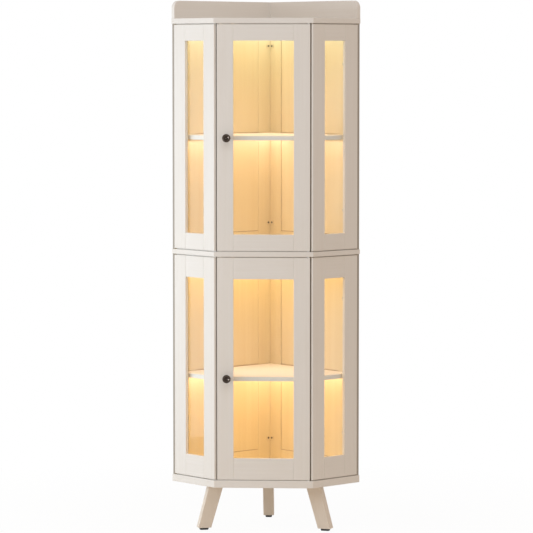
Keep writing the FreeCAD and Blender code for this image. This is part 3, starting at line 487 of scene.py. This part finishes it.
UPRIGHT_PAINT = cream_paint("cream_paint_upright", 2)
LEVEL_PAINT = cream_paint("cream_paint_level", 0)
RIGHT_FACET_PAINT = cream_paint("cream_paint_right_facet", 0, math.radians(45.0))
LEFT_FACET_PAINT = cream_paint("cream_paint_left_facet", 0, math.radians(-45.0))
# Legs: a darker, warmer copy of the cream, painted shade for their place under the cabinet.
LEG_SHADED_PAINT = cream_paint("cream_paint_legs_painted_shade", 2, pale=LEG_SHADED_CREAM, shade=LEG_SHADED_CREAM_DARK)
# Shelves: a paler copy of the cream, painted light on the lit shelf tops.
SHELF_LIT_PAINT = cream_paint("cream_paint_shelves_painted_light", 0, pale=SHELF_LIT_CREAM, shade=SHELF_LIT_CREAM_DARK)
print("cream paint in four directions of grain, a warmer one for legs and a paler one for shelves")

# %% [markdown]
# ## Back walls
#
# The walls behind the shelves are thin boards with paint rolled on, painted warmer inside than outside,
# which is painted warm lamp light. Such board has no grain, only a soft upright roller track and a finer
# stipple, so it is calmer than the frames. The inner corners of the panels and rails are darker, partly
# dust and partly painted shade, which the nearness of other pieces (ambient occlusion over a few
# millimetres) gives, but not close behind the windows. The front ends of the walls are painted darker, a
# painted shadow line at both outer edges of the cabinet. Inside looks forward and outside looks back, so
# the direction of a face tells which paint it has.

# %% Painted back walls
# The warmer cream inside is painted warm lamp light; the outer faces keep the plain cream.
PANEL_WARM_LIT_CREAM = from_screen(238, 225, 195)
PANEL_WARM_LIT_DARK = from_screen(232, 216, 182)
OUTER_CREAM = from_screen(235, 229, 219)
OUTER_SHADE = from_screen(227, 219, 206)
PANEL_DUST_AND_SHADE = from_screen(160, 126, 84)
# The darker front ends of the walls are a painted shadow line where they meet the facets.
PAINTED_SHADOW_LINE = from_screen(168, 160, 149)
TRACK_SIZES = (0.016, 0.016, 0.9)
STIPPLE_SIZE, STIPPLE_DEPTH = 0.0011, 0.00004
TRACK_SHARE, STIPPLE_SHARE = 0.8, 0.25
PANEL_DUST_AND_SHADE_SHARE, POST_DUST_AND_SHADE_SHARE = 1.0, 0.15
DUST_AND_SHADE_REACH, DUST_AND_SHADE_SPAN = 0.007, (0.45, 0.90)
CORNER_SHADE_STOPS_FROM, CORNER_SHADE_STOP_FADE = 0.235, 0.02
SHADOW_LINE_DEPTH, SHADOW_LINE_FADE = 0.007, 0.001
OUTSIDE_SPAN, FORWARD_SPAN = (-0.1, 0.1), (-0.3, -0.5)
BOARD_ROUGHNESS = (0.48, 0.60)
BOARD_MIRROR = 0.35


def open_air(tree, reach):
    """How free a point is of other surfaces within a reach: 1 in the open, 0 in a closed corner."""
    return add_node(tree, "AmbientOcclusion", {"samples": 8}, Distance=reach).outputs["AO"]


def rolled_board(name, dust_and_shade, shadow_line_from):
    """Cream paint rolled on thin board: upright roller tracks, a fine stipple, dusty painted shade in
    corners.

    The dusty painted shade is the nearness of other pieces times a mask that ends short of the outer
    ends. A face that looks forward is painted darker, a painted shadow line, where its distance from the
    middle plane is over shadow_line_from.
    """
    material, tree, output = new_material(name)
    tracks = noise(tree, TRACK_SIZES)
    stipple = noise(tree, STIPPLE_SIZE, detail=1.0)
    place = add_node(tree, "SeparateXYZ", Vector=add_node(tree, "TexCoord").outputs["Object"])
    facing = add_node(tree, "SeparateXYZ", Vector=add_node(tree, "NewGeometry").outputs["Normal"])
    apart = combined(tree, "ABSOLUTE", place.outputs["X"])
    outside = remap(tree, facing.outputs["Y"], *OUTSIDE_SPAN, 0.0, 1.0)
    # Inside faces take the warmer cream, which is painted lamp light; outside faces the plain cream.
    pale = mixed(tree, outside, PANEL_WARM_LIT_CREAM, OUTER_CREAM)
    shade = mixed(tree, outside, PANEL_WARM_LIT_DARK, OUTER_SHADE)
    colour = mixed(tree, remap(tree, tracks, 0.30, 0.75, 0.0, TRACK_SHARE), pale, shade)
    colour = mixed(tree, remap(tree, stipple, 0.45, 0.8, 0.0, STIPPLE_SHARE), colour, shade)
    # Darker inner corners: dust and painted shade, from the nearness of other pieces.
    corner = remap(tree, open_air(tree, DUST_AND_SHADE_REACH), *DUST_AND_SHADE_SPAN, dust_and_shade, 0.0)
    corner_shade_allowed = remap(tree, apart, CORNER_SHADE_STOPS_FROM, CORNER_SHADE_STOPS_FROM + CORNER_SHADE_STOP_FADE, 1.0, 0.0)
    colour = mixed(tree, combined(tree, "MULTIPLY", corner, corner_shade_allowed), colour, PANEL_DUST_AND_SHADE)
    # Forward faces near the outer ends are painted darker: a painted shadow line at the joint.
    end = remap(tree, apart, shadow_line_from, shadow_line_from + SHADOW_LINE_FADE, 0.0, 1.0)
    forward = remap(tree, facing.outputs["Y"], *FORWARD_SPAN, 0.0, 1.0)
    colour = mixed(tree, combined(tree, "MULTIPLY", end, forward), colour, PAINTED_SHADOW_LINE)
    solid_finish(
        tree, output, Base_Color=colour, Specular_IOR_Level=BOARD_MIRROR,
        Roughness=remap(tree, stipple, *NOISE_SPAN, *BOARD_ROUGHNESS),
        Normal=bumped(tree, stipple, STIPPLE_DEPTH, strength=0.25),
    )
    return material


wall_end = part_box("upper_wall_stiles")[1][0] - SHADOW_LINE_DEPTH
PANEL_PAINT = rolled_board("rolled_panel", PANEL_DUST_AND_SHADE_SHARE, wall_end)
POST_PAINT = rolled_board("rolled_post", POST_DUST_AND_SHADE_SHARE, wall_end)
print("wall paint ready, bare from", round(wall_end, 4), "m")

# %% [markdown]
# ## Glass
#
# A flat pane moves what is behind it so little that bending the light is wasted work. A straight
# see-through shader with a mirror mixed in by Fresnel looks the same, lets the lamps through and has
# no noise. A few wiped streaks change how sharp the mirror is.

# %% Window glass
PANE_TINT = (0.985, 0.995, 0.988)
PANE_IOR = 1.45
WIPE_SIZES, WIPE_TURN = (0.05, 0.05, 0.12), 0.4
WIPE_ROUGHNESS = (0.015, 0.07)
SPECK_SIZE, SPECK_SHARE, SPECK_LEVEL = 0.003, 0.3, 0.985


def pane_glass(name):
    """Clear float glass: see-through, with a thin mirror on both faces and faint wipe marks.

    The share of the mirror is Fresnel's where a ray enters the pane, and none where it leaves.
    """
    material, tree, output = new_material(name)
    wipe = noise(tree, WIPE_SIZES, WIPE_TURN, detail=3.0)
    specks = remap(tree, noise(tree, SPECK_SIZE, detail=1.0), 0.55, 0.8, 0.0, SPECK_SHARE)
    tint = mixed(tree, specks, PANE_TINT, scaled(PANE_TINT, SPECK_LEVEL))
    through = add_node(tree, "BsdfTransparent", Color=tint)
    sharpness = remap(tree, wipe, 0.45, 0.75, *WIPE_ROUGHNESS)
    mirror = add_node(tree, "BsdfAnisotropic", Color=WHITE, Roughness=sharpness)
    entering = combined(tree, "SUBTRACT", 1.0, add_node(tree, "NewGeometry").outputs["Backfacing"])
    share = combined(tree, "MULTIPLY", add_node(tree, "Fresnel", IOR=PANE_IOR).outputs[0], entering)
    both = add_node(tree, "MixShader", Fac=share, n1=through.outputs[0], n2=mirror.outputs[0])
    tree.links.new(both.outputs[0], output.inputs["Surface"])
    return material


GLASS = pane_glass("clear_pane")
print("glass ready")

# %% [markdown]
# ## Metals
#
# The knobs are bronze darkened with oil: nearly black in the hollows and round the side, paler on the
# crest of the rim and on the button, partly where fingers rub it and partly a painted highlight. Those
# are the faces that look straight out and have nothing close before them. The screws in the rear corner
# are blackened steel, and the other fittings are zinc plated, which shows as a soft grey with a spangle
# of slightly different greys.

# %% Bronze and steel
BRONZE_DARK = from_screen(38, 31, 27)
BRONZE_RUBBED_AND_HIGHLIT = from_screen(112, 96, 82)
BRONZE_METAL = 0.85
BRONZE_ROUGHNESS = (0.16, 0.30)
PATINA_SIZE, PATINA_SHARE = 0.004, 0.30
PIT_SIZE, PIT_DEPTH = 0.0007, 0.00006
HOLLOW_REACH, HOLLOW_SPAN = 0.006, (0.86, 0.98)
CREST_SPAN = (-0.75, -0.97)
KNOB_WEAR_AND_HIGHLIGHT_SHARE = 0.35
ZINC_PALE, ZINC_DARK = from_screen(196, 196, 192), from_screen(168, 168, 166)
BLACKENED_PALE, BLACKENED_DARK = from_screen(62, 52, 44), from_screen(40, 33, 28)
RUBBING_SIZES, RUBBING_DEPTH = (0.0006, 0.0006, 0.006), 0.00004
RUBBING_SPREAD = 0.14


def oiled_bronze(name):
    """Dark bronze with a mottled patina, paler on crests that look out of the front: rubbed, and a painted
    highlight.

    The paler share is a product: how far a face looks forward, times how free it is of other surfaces.
    """
    material, tree, output = new_material(name)
    patina = noise(tree, PATINA_SIZE, detail=4.0, roughness=0.6)
    pits = noise(tree, PIT_SIZE, detail=1.0)
    facing = add_node(tree, "SeparateXYZ", Vector=add_node(tree, "TexCoord").outputs["Normal"])
    crest = remap(tree, facing.outputs["Y"], *CREST_SPAN, 0.0, 1.0)
    open_wear_and_highlight = remap(tree, open_air(tree, HOLLOW_REACH), *HOLLOW_SPAN, 0.0, KNOB_WEAR_AND_HIGHLIGHT_SHARE)
    colour = mixed(tree, remap(tree, patina, 0.35, 0.75, 0.0, PATINA_SHARE), BRONZE_DARK, BRONZE_RUBBED_AND_HIGHLIT)
    # Crests that face forward and stand free turn paler: rubbed metal and a painted highlight.
    colour = mixed(tree, combined(tree, "MULTIPLY", crest, open_wear_and_highlight), colour, BRONZE_RUBBED_AND_HIGHLIT)
    solid_finish(
        tree, output, Base_Color=colour, Metallic=BRONZE_METAL,
        Roughness=remap(tree, patina, 0.3, 0.75, *BRONZE_ROUGHNESS),
        Normal=bumped(tree, pits, PIT_DEPTH, strength=0.3),
    )
    return material


def plated_steel(name, pale, dark, spangle, rough):
    """Plated steel: patches, a spangle wide, of greys between pale and dark, with fine rub marks."""
    material, tree, output = new_material(name)
    patches = add_node(tree, "TexVoronoi", Vector=sized(tree, spangle), Scale=1.0).outputs["Color"]
    tone = add_node(tree, "SeparateColor", Color=patches).outputs[0]
    rubbing = noise(tree, RUBBING_SIZES)
    solid_finish(
        tree, output, Base_Color=mixed(tree, tone, pale, dark), Metallic=1.0,
        Roughness=remap(tree, rubbing, *NOISE_SPAN, rough, rough + RUBBING_SPREAD),
        Normal=bumped(tree, rubbing, RUBBING_DEPTH, strength=0.3),
    )
    return material


BRONZE = oiled_bronze("oiled_bronze")
ZINC = plated_steel("zinc_plate", ZINC_PALE, ZINC_DARK, spangle=0.0025, rough=0.30)
BLACK_STEEL = plated_steel("blackened_steel", BLACKENED_PALE, BLACKENED_DARK, spangle=0.0015, rough=0.42)
print("metals ready")

# %% [markdown]
# ## Plastics and the lit lens
#
# Moulded plastic has a fine spark-eroded grain that catches light. The glides are black, the light
# housings and catches white. The lens is frosted and lit from behind: brighter in the middle than at
# its rim, which a fall-off with the distance from the pucks' common axis gives.

# %% Moulded plastic and lens
GLIDE_BLACK, GLIDE_WORN = from_screen(38, 37, 36), from_screen(28, 27, 26)
FITTING_WHITE, FITTING_AGED = from_screen(238, 236, 230), from_screen(229, 226, 218)
CLIP_MILKY, CLIP_GREY = from_screen(232, 231, 224), from_screen(220, 218, 209)
GRAIN_SIZE, GRAIN_DEPTH, GRAIN_SPREAD = 0.0005, 0.00003, 0.15
FLOW_SIZE = 0.012
LENS_GLOW = from_screen(255, 226, 170)
LENS_FROST = from_screen(250, 244, 232)
LENS_STRENGTH = 2.2
LENS_MIDDLE, LENS_RIM, LENS_RIM_SHARE = 0.006, 0.021, 0.55
FROST_SIZE, FROST_DEPTH = 0.0006, 0.00004
FROST_ROUGHNESS = (0.45, 0.6)


def moulded_plastic(name, pale, dark, rough):
    """Moulded plastic: a fine even grain, and slow changes of tone between pale and dark."""
    material, tree, output = new_material(name)
    grain = noise(tree, GRAIN_SIZE, detail=1.0)
    flow = remap(tree, noise(tree, FLOW_SIZE), 0.35, 0.7, 0.0, 1.0)
    solid_finish(
        tree, output, Base_Color=mixed(tree, flow, pale, dark),
        Roughness=remap(tree, grain, *NOISE_SPAN, rough, rough + GRAIN_SPREAD),
        Normal=bumped(tree, grain, GRAIN_DEPTH, strength=0.4),
    )
    return material


def lit_lens(name, centre):
    """A frosted lens that glows less from its middle to its rim, by the level distance from the centre."""
    material, tree, output = new_material(name)
    place = add_node(tree, "TexCoord").outputs["Object"]
    apart = add_node(tree, "VectorMath", {"operation": "SUBTRACT"}, n0=place, n1=(centre[0], centre[1], 0.0))
    flat = add_node(tree, "VectorMath", {"operation": "MULTIPLY"}, n0=apart.outputs[0], n1=(1.0, 1.0, 0.0))
    out = add_node(tree, "VectorMath", {"operation": "LENGTH"}, n0=flat.outputs[0]).outputs["Value"]
    frost = noise(tree, FROST_SIZE, detail=1.0)
    solid_finish(
        tree, output, Base_Color=(*LENS_FROST, 1.0), Emission_Color=(*LENS_GLOW, 1.0),
        Emission_Strength=remap(
            tree, out, LENS_MIDDLE, LENS_RIM, LENS_STRENGTH, LENS_RIM_SHARE * LENS_STRENGTH
        ),
        Roughness=remap(tree, frost, *NOISE_SPAN, *FROST_ROUGHNESS),
        Normal=bumped(tree, frost, FROST_DEPTH, strength=0.4),
    )
    return material


BLACK_PLASTIC = moulded_plastic("black_glide_plastic", GLIDE_BLACK, GLIDE_WORN, rough=0.5)
WHITE_PLASTIC = moulded_plastic("white_fitting_plastic", FITTING_WHITE, FITTING_AGED, rough=0.35)
MILKY_PLASTIC = moulded_plastic("milky_clip_plastic", CLIP_MILKY, CLIP_GREY, rough=0.25)
LENS = lit_lens("lit_lens", np.mean(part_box("light_lenses"), axis=0).tolist())
print("plastics and lens ready")

# %% [markdown]
# ## Dressing the pieces
#
# Each piece of the model gets one of the finishes, chosen by the words in its name, so a new piece
# with a familiar name is dressed the same way. The order matters: the first word that fits wins.

# %% Finishes by name
FINISHES = (
    ("glass_clips", MILKY_PLASTIC), ("glass", GLASS), ("knob_screw", ZINC), ("knob_stile", UPRIGHT_PAINT),
    ("knob", BRONZE), ("pivot_pins", ZINC), ("pivot_bushes", WHITE_PLASTIC), ("strike_plate", ZINC),
    ("magnetic_catches", WHITE_PLASTIC), ("corner_bracket_screws", BLACK_STEEL),
    ("corner_brackets", POST_PAINT), ("shelf_pins", ZINC), ("light_housings", WHITE_PLASTIC),
    ("light_lenses", LENS), ("leg_bolts", ZINC), ("foot_glides", BLACK_PLASTIC),
    ("back_panels", PANEL_PAINT), ("left_window_rails", LEFT_FACET_PAINT),
    ("right_window_rails", RIGHT_FACET_PAINT), ("gallery_left", RIGHT_FACET_PAINT),
    ("gallery_right", LEFT_FACET_PAINT), ("back_rails", PANEL_PAINT), ("rails", LEVEL_PAINT),
    ("board", LEVEL_PAINT), ("shelf", SHELF_LIT_PAINT), ("wall_stiles", POST_PAINT), ("stile", UPRIGHT_PAINT),
    ("post", POST_PAINT), ("leg", LEG_SHADED_PAINT),
)
dressed = {}
for name, piece in nodes.items():
    finish = next(finish for word, finish in FINISHES if word in name)
    piece.data.materials.clear()
    piece.data.materials.append(finish)
    dressed.setdefault(finish.name, []).append(name)
for finish, names in dressed.items():
    print(finish, len(names))

# %% [markdown]
# ## Closed surfaces from rings
#
# A knob, a screw and a strip of trim have one thing in common: each is a row of closed rings, and the
# first and last ring are closed by a fan of triangles. One helper therefore makes all of them. It takes
# the rings as one array, so no loop runs over points, and turns the faces outward if the volume that
# they enclose comes out negative.

# %% Helpers for ringed pieces
SHARP_FROM = math.radians(40.0)
CUBIC_CM = 1e6


def ringed_piece(name, points, finish, body):
    """Make a piece from rings of points (pieces, rings, points in a ring, 3), ends closed by fans.

    The volume is the sum over triangles of p . (q x r) / 6, which is positive when faces look outward.
    """
    count, rings, around = points.shape[:3]
    index = np.arange(count * rings * around).reshape(count, rings, around)
    ahead = np.roll(index, -1, axis=2)
    tips = index.size + np.arange(2 * count).reshape(count, 2, 1)
    quads = np.stack([index[:, :-1], ahead[:, :-1], ahead[:, 1:], index[:, 1:]], axis=-1).reshape(-1, 4)
    first = np.stack([ahead[:, 0], index[:, 0], np.broadcast_to(tips[:, 0], (count, around))], axis=-1)
    last = np.stack([index[:, -1], ahead[:, -1], np.broadcast_to(tips[:, 1], (count, around))], axis=-1)
    places = np.vstack([points.reshape(-1, 3), points[:, [0, -1]].mean(axis=2).reshape(-1, 3)])
    fans = np.vstack([first.reshape(-1, 3), last.reshape(-1, 3)])
    corners = places[np.vstack([quads[:, [0, 1, 2]], quads[:, [0, 2, 3]], fans])]
    volume = np.einsum("ij,ij->i", corners[:, 0], np.cross(corners[:, 1], corners[:, 2])).sum() / 6.0
    if volume < 0.0:
        quads, fans = quads[:, ::-1], fans[:, ::-1]
    mesh = bpy.data.meshes.new(name)
    mesh.from_pydata(places.tolist(), [], quads.tolist() + fans.tolist())
    mesh.polygons.foreach_set("use_smooth", np.ones(len(mesh.polygons), bool))
    mesh.set_sharp_from_angle(angle=SHARP_FROM)
    mesh.materials.append(finish)
    piece = bpy.data.objects.new(name, mesh)
    bpy.context.scene.collection.objects.link(piece)
    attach(piece, body)
    print(name, len(mesh.polygons), "faces,", round(abs(volume) * CUBIC_CM, 2), "cubic cm")
    return piece


def turned(radius, reach, base, axis, around):
    """Rings of a turned piece: base + reach * axis + radius * (cos t * side + sin t * up) for angles t."""
    axis = np.asarray(axis, float)
    up = np.array([0.0, 0.0, 1.0])
    side = np.cross(up, axis)
    angle = np.linspace(0.0, 2.0 * np.pi, around, endpoint=False)
    ring = np.cos(angle)[:, None] * side + np.sin(angle)[:, None] * up
    reach = np.broadcast_to(reach.reshape(len(radius), -1), (len(radius), around))
    return np.asarray(base) + radius[:, None, None] * ring + reach[..., None] * axis


def rear_middle(box, forward=0.0):
    """The middle of the rear side of a box, moved forward: half of low + high in x and z, the high y."""
    low, high = box
    return (low[0] + high[0]) / 2.0, high[1] - forward, (low[2] + high[2]) / 2.0


print("ring helpers ready")

# %% [markdown]
# ## Turned knobs
#
# A knob of this kind is turned and then darkened: a small round foot, a waisted neck, and a mushroom
# cap with a thick rolled rim round a shallow dish and a little button. The rim and the dish are what
# makes it look like metal, because one side of the rim and the opposite side of the dish catch a light
# at once. The profile is written piece by piece as radius against reach and then turned. Dark metal
# shows little but what it mirrors, so a bright strip at the left, linked to the knobs alone, draws arcs
# on them and adds nothing to the paint and the glass.

# %% Turned knobs
DOORS = ("upper_door", "lower_door")
KNOB_RADIUS = 0.0140
KNOB_REACH = 0.0250
KNOB_FOOT = 0.0085
KNOB_FOOT_EDGE = 0.0015
KNOB_WAIST = 0.0055
KNOB_RIM = 0.0034
RIM_FROM, RIM_TO = np.radians(-125.0), np.radians(90.0)
DISH_FLOOR = 0.0218
BUTTON_RADIUS = 0.0036
BUTTON_RISE = 0.0020
FOOT_STEPS, NECK_STEPS, RIM_STEPS, DISH_STEPS, BUTTON_STEPS = 7, 15, 33, 14, 10
KNOB_AROUND = 96
STRIP_LIGHT = (30.0, 34.0, 38.0)
STRIP_PLACE = (-2.6, -1.2, 0.45)
STRIP_SIZE = (0.5, 0.8)


def knob_profile():
    """Radius and reach along the knob: a rounded foot, a neck that flares by a fourth power toward the
    cap, a rim that is three fifths of a circle, a dish that follows a half cosine, and a dome."""
    quarter = np.linspace(0.0, np.pi / 2.0, FOOT_STEPS)
    foot_r = KNOB_FOOT - KNOB_FOOT_EDGE * (1.0 - np.cos(quarter))
    foot_h = KNOB_FOOT_EDGE * np.sin(quarter)
    rim_r, rim_h = KNOB_RADIUS - KNOB_RIM, KNOB_REACH - KNOB_RIM
    rim = np.linspace(RIM_FROM, RIM_TO, RIM_STEPS)
    s = np.linspace(0.0, 1.0, NECK_STEPS)[1:-1]
    cap_r, cap_h = rim_r + KNOB_RIM * np.cos(rim[0]), rim_h + KNOB_RIM * np.sin(rim[0])
    neck_r = KNOB_WAIST + (foot_r[-1] - KNOB_WAIST) * (1.0 - s) ** 3 + (cap_r - KNOB_WAIST) * s ** 4
    neck_h = foot_h[-1] + (cap_h - foot_h[-1]) * s
    d = np.linspace(0.0, 1.0, DISH_STEPS)[1:]
    dish_r = rim_r + (BUTTON_RADIUS - rim_r) * d
    dish_h = DISH_FLOOR + (KNOB_REACH - DISH_FLOOR) * (1.0 + np.cos(np.pi * d)) / 2.0
    dome = np.linspace(0.0, np.pi / 2.0, BUTTON_STEPS)[:-1]
    button_r = BUTTON_RADIUS * np.cos(dome)
    button_h = DISH_FLOOR + BUTTON_RISE * np.sin(dome)
    radius = np.concatenate([[KNOB_FOOT], foot_r, neck_r, rim_r + KNOB_RIM * np.cos(rim), dish_r, button_r])
    reach = np.concatenate([[0.0], foot_h, neck_h, rim_h + KNOB_RIM * np.sin(rim), dish_h, button_h])
    return radius, reach


strip_lit = bpy.data.collections.new("strip_lit")
for door in DOORS:
    foot = rear_middle(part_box(door + "_knob"))
    rings = turned(*knob_profile(), foot, (0.0, -1.0, 0.0), KNOB_AROUND)
    knob = ringed_piece(door + "_turned_knob", rings[None], BRONZE, door)
    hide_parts(door + "_knob")
    strip_lit.objects.link(knob)
knob_strip = panel_lamp("knob_strip", STRIP_PLACE, STRIP_SIZE, STRIP_LIGHT, shines=False, mirrored=True)
aimed(knob_strip, (0.0, 0.0, STRIP_PLACE[2]))
knob_strip.light_linking.receiver_collection = strip_lit

# %% [markdown]
# ## Screws with a cross recess
#
# The dark dots in the rear corner are the heads of screws. A screw head is a low dome with a cross
# sunk into it. Cutting the cross with a boolean leaves long thin faces, so the head is a height field
# instead: rings of points whose height is the dome less the depth of the cross at that point. The
# screws of the brackets stand square to the two walls, and their places are read off the model.

# %% Cross-head screws
CROSS_ARM = 0.17
CROSS_REACH = 0.62
CROSS_SOFT = 0.08
CROSS_DEPTH = 0.42
CROSS_RISE = 0.6
HEAD_EDGE, HEAD_DOME = 0.35, 0.65
TIP_RADIUS, TIP_LENGTH = 0.6, 0.3
HEAD_STEPS = 26
SCREW_AROUND = 72
BRACKET_SCREW = {"head": 0.0032, "rise": 0.0018, "shank": 0.0015}
KNOB_SCREW = {"head": 0.0040, "rise": 0.0022, "shank": 0.0020, "length": 0.0270}
LEVELS_APART = 0.05


def cross_head_screw(base, axis, head, rise, shank, length):
    """A pan-head screw that stands on its base: shank below, head above, a cross sunk into it.

    With |x| and |y| over the head's radius, near and far are the lesser and the greater of them. The
    cross is where near is under the arm's half width and far under its reach, and its floor rises
    toward the ends of the arms.
    """
    dome = np.linspace(0.0, 1.0, HEAD_STEPS)[:-1]
    head_r = head * (1.0 - dome)
    head_h = rise * (HEAD_EDGE + HEAD_DOME * np.sqrt(1.0 - (1.0 - dome) ** 2))
    radius = np.concatenate([[TIP_RADIUS * shank, shank, shank, head, head], head_r[1:]])
    reach = np.concatenate([[-length, TIP_LENGTH * shank - length, 0.0, 0.0, head_h[0]], head_h[1:]])
    angle = np.linspace(0.0, 2.0 * np.pi, SCREW_AROUND, endpoint=False)
    x = np.abs(radius[:, None] * np.cos(angle)) / head
    y = np.abs(radius[:, None] * np.sin(angle)) / head
    near, far = np.minimum(x, y), np.maximum(x, y)
    inside = np.clip((CROSS_ARM - near) / CROSS_SOFT, 0.0, 1.0)
    inside = inside * np.clip((CROSS_REACH - far) / CROSS_SOFT, 0.0, 1.0)
    depth = CROSS_DEPTH * head * inside * (1.0 - CROSS_RISE * far / CROSS_REACH)
    on_head = (reach > 0.0)[:, None]
    return turned(radius, reach[:, None] - depth * on_head, base, axis, SCREW_AROUND)


def node_points(name):
    """All points of a piece of the model, one a row."""
    mesh = nodes[name].data
    flat = np.empty(len(mesh.vertices) * 3)
    mesh.vertices.foreach_get("co", flat)
    return flat.reshape(-1, 3)


points = node_points("corner_bracket_screws")
order = np.sort(points[:, 2])
levels = np.split(order, np.flatnonzero(np.diff(order) > LEVELS_APART) + 1)
screws = []
for side in (-1.0, 1.0):
    inward = np.array([-side, -1.0, 0.0]) * COS_45
    along = np.array([-side, 1.0, 0.0]) * COS_45
    for level in levels:
        ours = points[(points[:, 0] * side > 0.0) & (points[:, 2] >= level[0]) & (points[:, 2] <= level[-1])]
        u, v = ours @ along, ours @ inward
        base = along * (u.min() + u.max()) / 2.0 + inward * (v.max() - BRACKET_SCREW["rise"])
        base[2] = (level[0] + level[-1]) / 2.0
        length = v.max() - v.min() - BRACKET_SCREW["rise"]
        screws.append(cross_head_screw(base, inward, length=length, **BRACKET_SCREW))
screw_set = ringed_piece("corner_cross_head_screws", np.stack(screws), BLACK_STEEL, "cabinet")
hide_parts("corner_bracket_screws")
for door in DOORS:
    base = rear_middle(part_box(door + "_knob_screw"), KNOB_SCREW["rise"])
    rings = cross_head_screw(base, (0.0, 1.0, 0.0), **KNOB_SCREW)
    screw = ringed_piece(door + "_cross_head_knob_screw", rings[None], ZINC, door)
    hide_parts(door + "_knob_screw")

# %% [markdown]
# ## Door stops
#
# The gaps round the doors look dark although the cabinet is lit, so something closes them from behind:
# thin strips fixed to the frames and boards, which also keep dust out. The upright strips are painted a
# dark umber, which is painted shadow in the side gaps. Each strip is a flat section with rounded edges, a
# superellipse, carried along a straight line and drawn in a little at its ends. On the hinge side the
# strip sits deeper, because the corner of the door swings back there, and under the boards it is left
# out where the magnetic catch is. A thin seal on the boards narrows the gaps above and below each door.

# %% Stop strips behind the door gaps
# Dark umber on the upright strips is painted shadow in the side gaps.
STOP_PAINTED_SHADOW = from_screen(124, 98, 79)
STOP_PAINTED_SHADOW_DARK = from_screen(108, 84, 67)
STOP_LAP = 0.006
STOP_OUT = 0.004
STOP_NEAR, STOP_FAR = 0.0005, 0.0035
HINGE_NEAR, HINGE_FAR = 0.0023, 0.0036
HINGE_OUT = 0.0062
PIVOT_ROOM = 0.012
CATCH_ROOM = 0.009
SEAL_THICK = 0.0018
SEAL_SET_BACK = 0.0012
STRIP_END, STRIP_END_SIZE = 0.0006, 0.75
STRIP_POWER = 6.0
STRIP_AROUND = 32

STOP_SHADOW_PAINT = cream_paint("painted_shadow_stop_paint", 2, pale=STOP_PAINTED_SHADOW, shade=STOP_PAINTED_SHADOW_DARK)


def stop_strip(corners):
    """A strip between two corners: the superellipse |u|^6 + |v|^6 = 1 across its two short sides,
    carried along its long side, at three quarters of its size at each end."""
    low, high = np.array(corners)
    middle, half = (low + high) / 2.0, (high - low) / 2.0
    long = int(np.argmax(half))
    u, v = (axis for axis in range(3) if axis != long)
    angle = np.linspace(0.0, 2.0 * np.pi, STRIP_AROUND, endpoint=False)
    ease = STRIP_END / half[long]
    path = np.array([-1.0, ease - 1.0, 1.0 - ease, 1.0])
    size = np.array([STRIP_END_SIZE, 1.0, 1.0, STRIP_END_SIZE])
    rings = np.zeros((len(path), len(angle), 3))
    rings[..., long] = path[:, None]
    for axis, wave in ((u, np.cos(angle)), (v, np.sin(angle))):
        rings[..., axis] = size[:, None] * np.sign(wave) * np.abs(wave) ** (2.0 / STRIP_POWER)
    return middle + half * rings


def door_stops(door, floor, ceiling):
    """The upright strips of one doorway, then its level strips and seals, as pairs of corners."""
    left, front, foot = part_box(door + "_knob_stile")[0]
    right, back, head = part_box(door + "_hinge_stile")[1]
    catch_from, catch_to = (corner[0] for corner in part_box(door + "_strike_plate"))
    near, far = back + STOP_NEAR, back + STOP_FAR
    strip_end, seal_end = right - STOP_LAP, right - PIVOT_ROOM
    uprights = (
        ((left - STOP_OUT, near, floor), (left + STOP_LAP, far, ceiling)),
        ((right - STOP_LAP, back + HINGE_NEAR, floor), (right + HINGE_OUT, back + HINGE_FAR, ceiling)),
    )
    levels = (
        ((left + STOP_LAP, near, floor), (strip_end, far, foot + STOP_LAP)),
        ((left + STOP_LAP, near, head - STOP_LAP), (catch_from - CATCH_ROOM, far, ceiling)),
        ((catch_to + CATCH_ROOM, near, head - STOP_LAP), (strip_end, far, ceiling)),
        ((left, front + SEAL_SET_BACK, floor), (seal_end, back, floor + SEAL_THICK)),
        ((left, front + SEAL_SET_BACK, ceiling - SEAL_THICK), (seal_end, back, ceiling)),
    )
    return uprights, levels


middle_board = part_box("middle_board")
doorways = {
    "lower_door": (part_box("bottom_board")[1][2], middle_board[0][2]),
    "upper_door": (middle_board[1][2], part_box("top_board")[0][2]),
}
for door, (floor, ceiling) in doorways.items():
    pairs_of_corners = door_stops(door, floor, ceiling)
    uprights, levels = (np.stack([stop_strip(pair) for pair in pairs]) for pairs in pairs_of_corners)
    ringed_piece(door + "_upright_stops", uprights, STOP_SHADOW_PAINT, "cabinet")
    ringed_piece(door + "_level_stops", levels, LEVEL_PAINT, "cabinet")

# %% [markdown]
# ## The view transform
#
# The picture uses the Standard view transform.

# %% View transform
bpy.context.scene.view_settings.view_transform = "Standard"
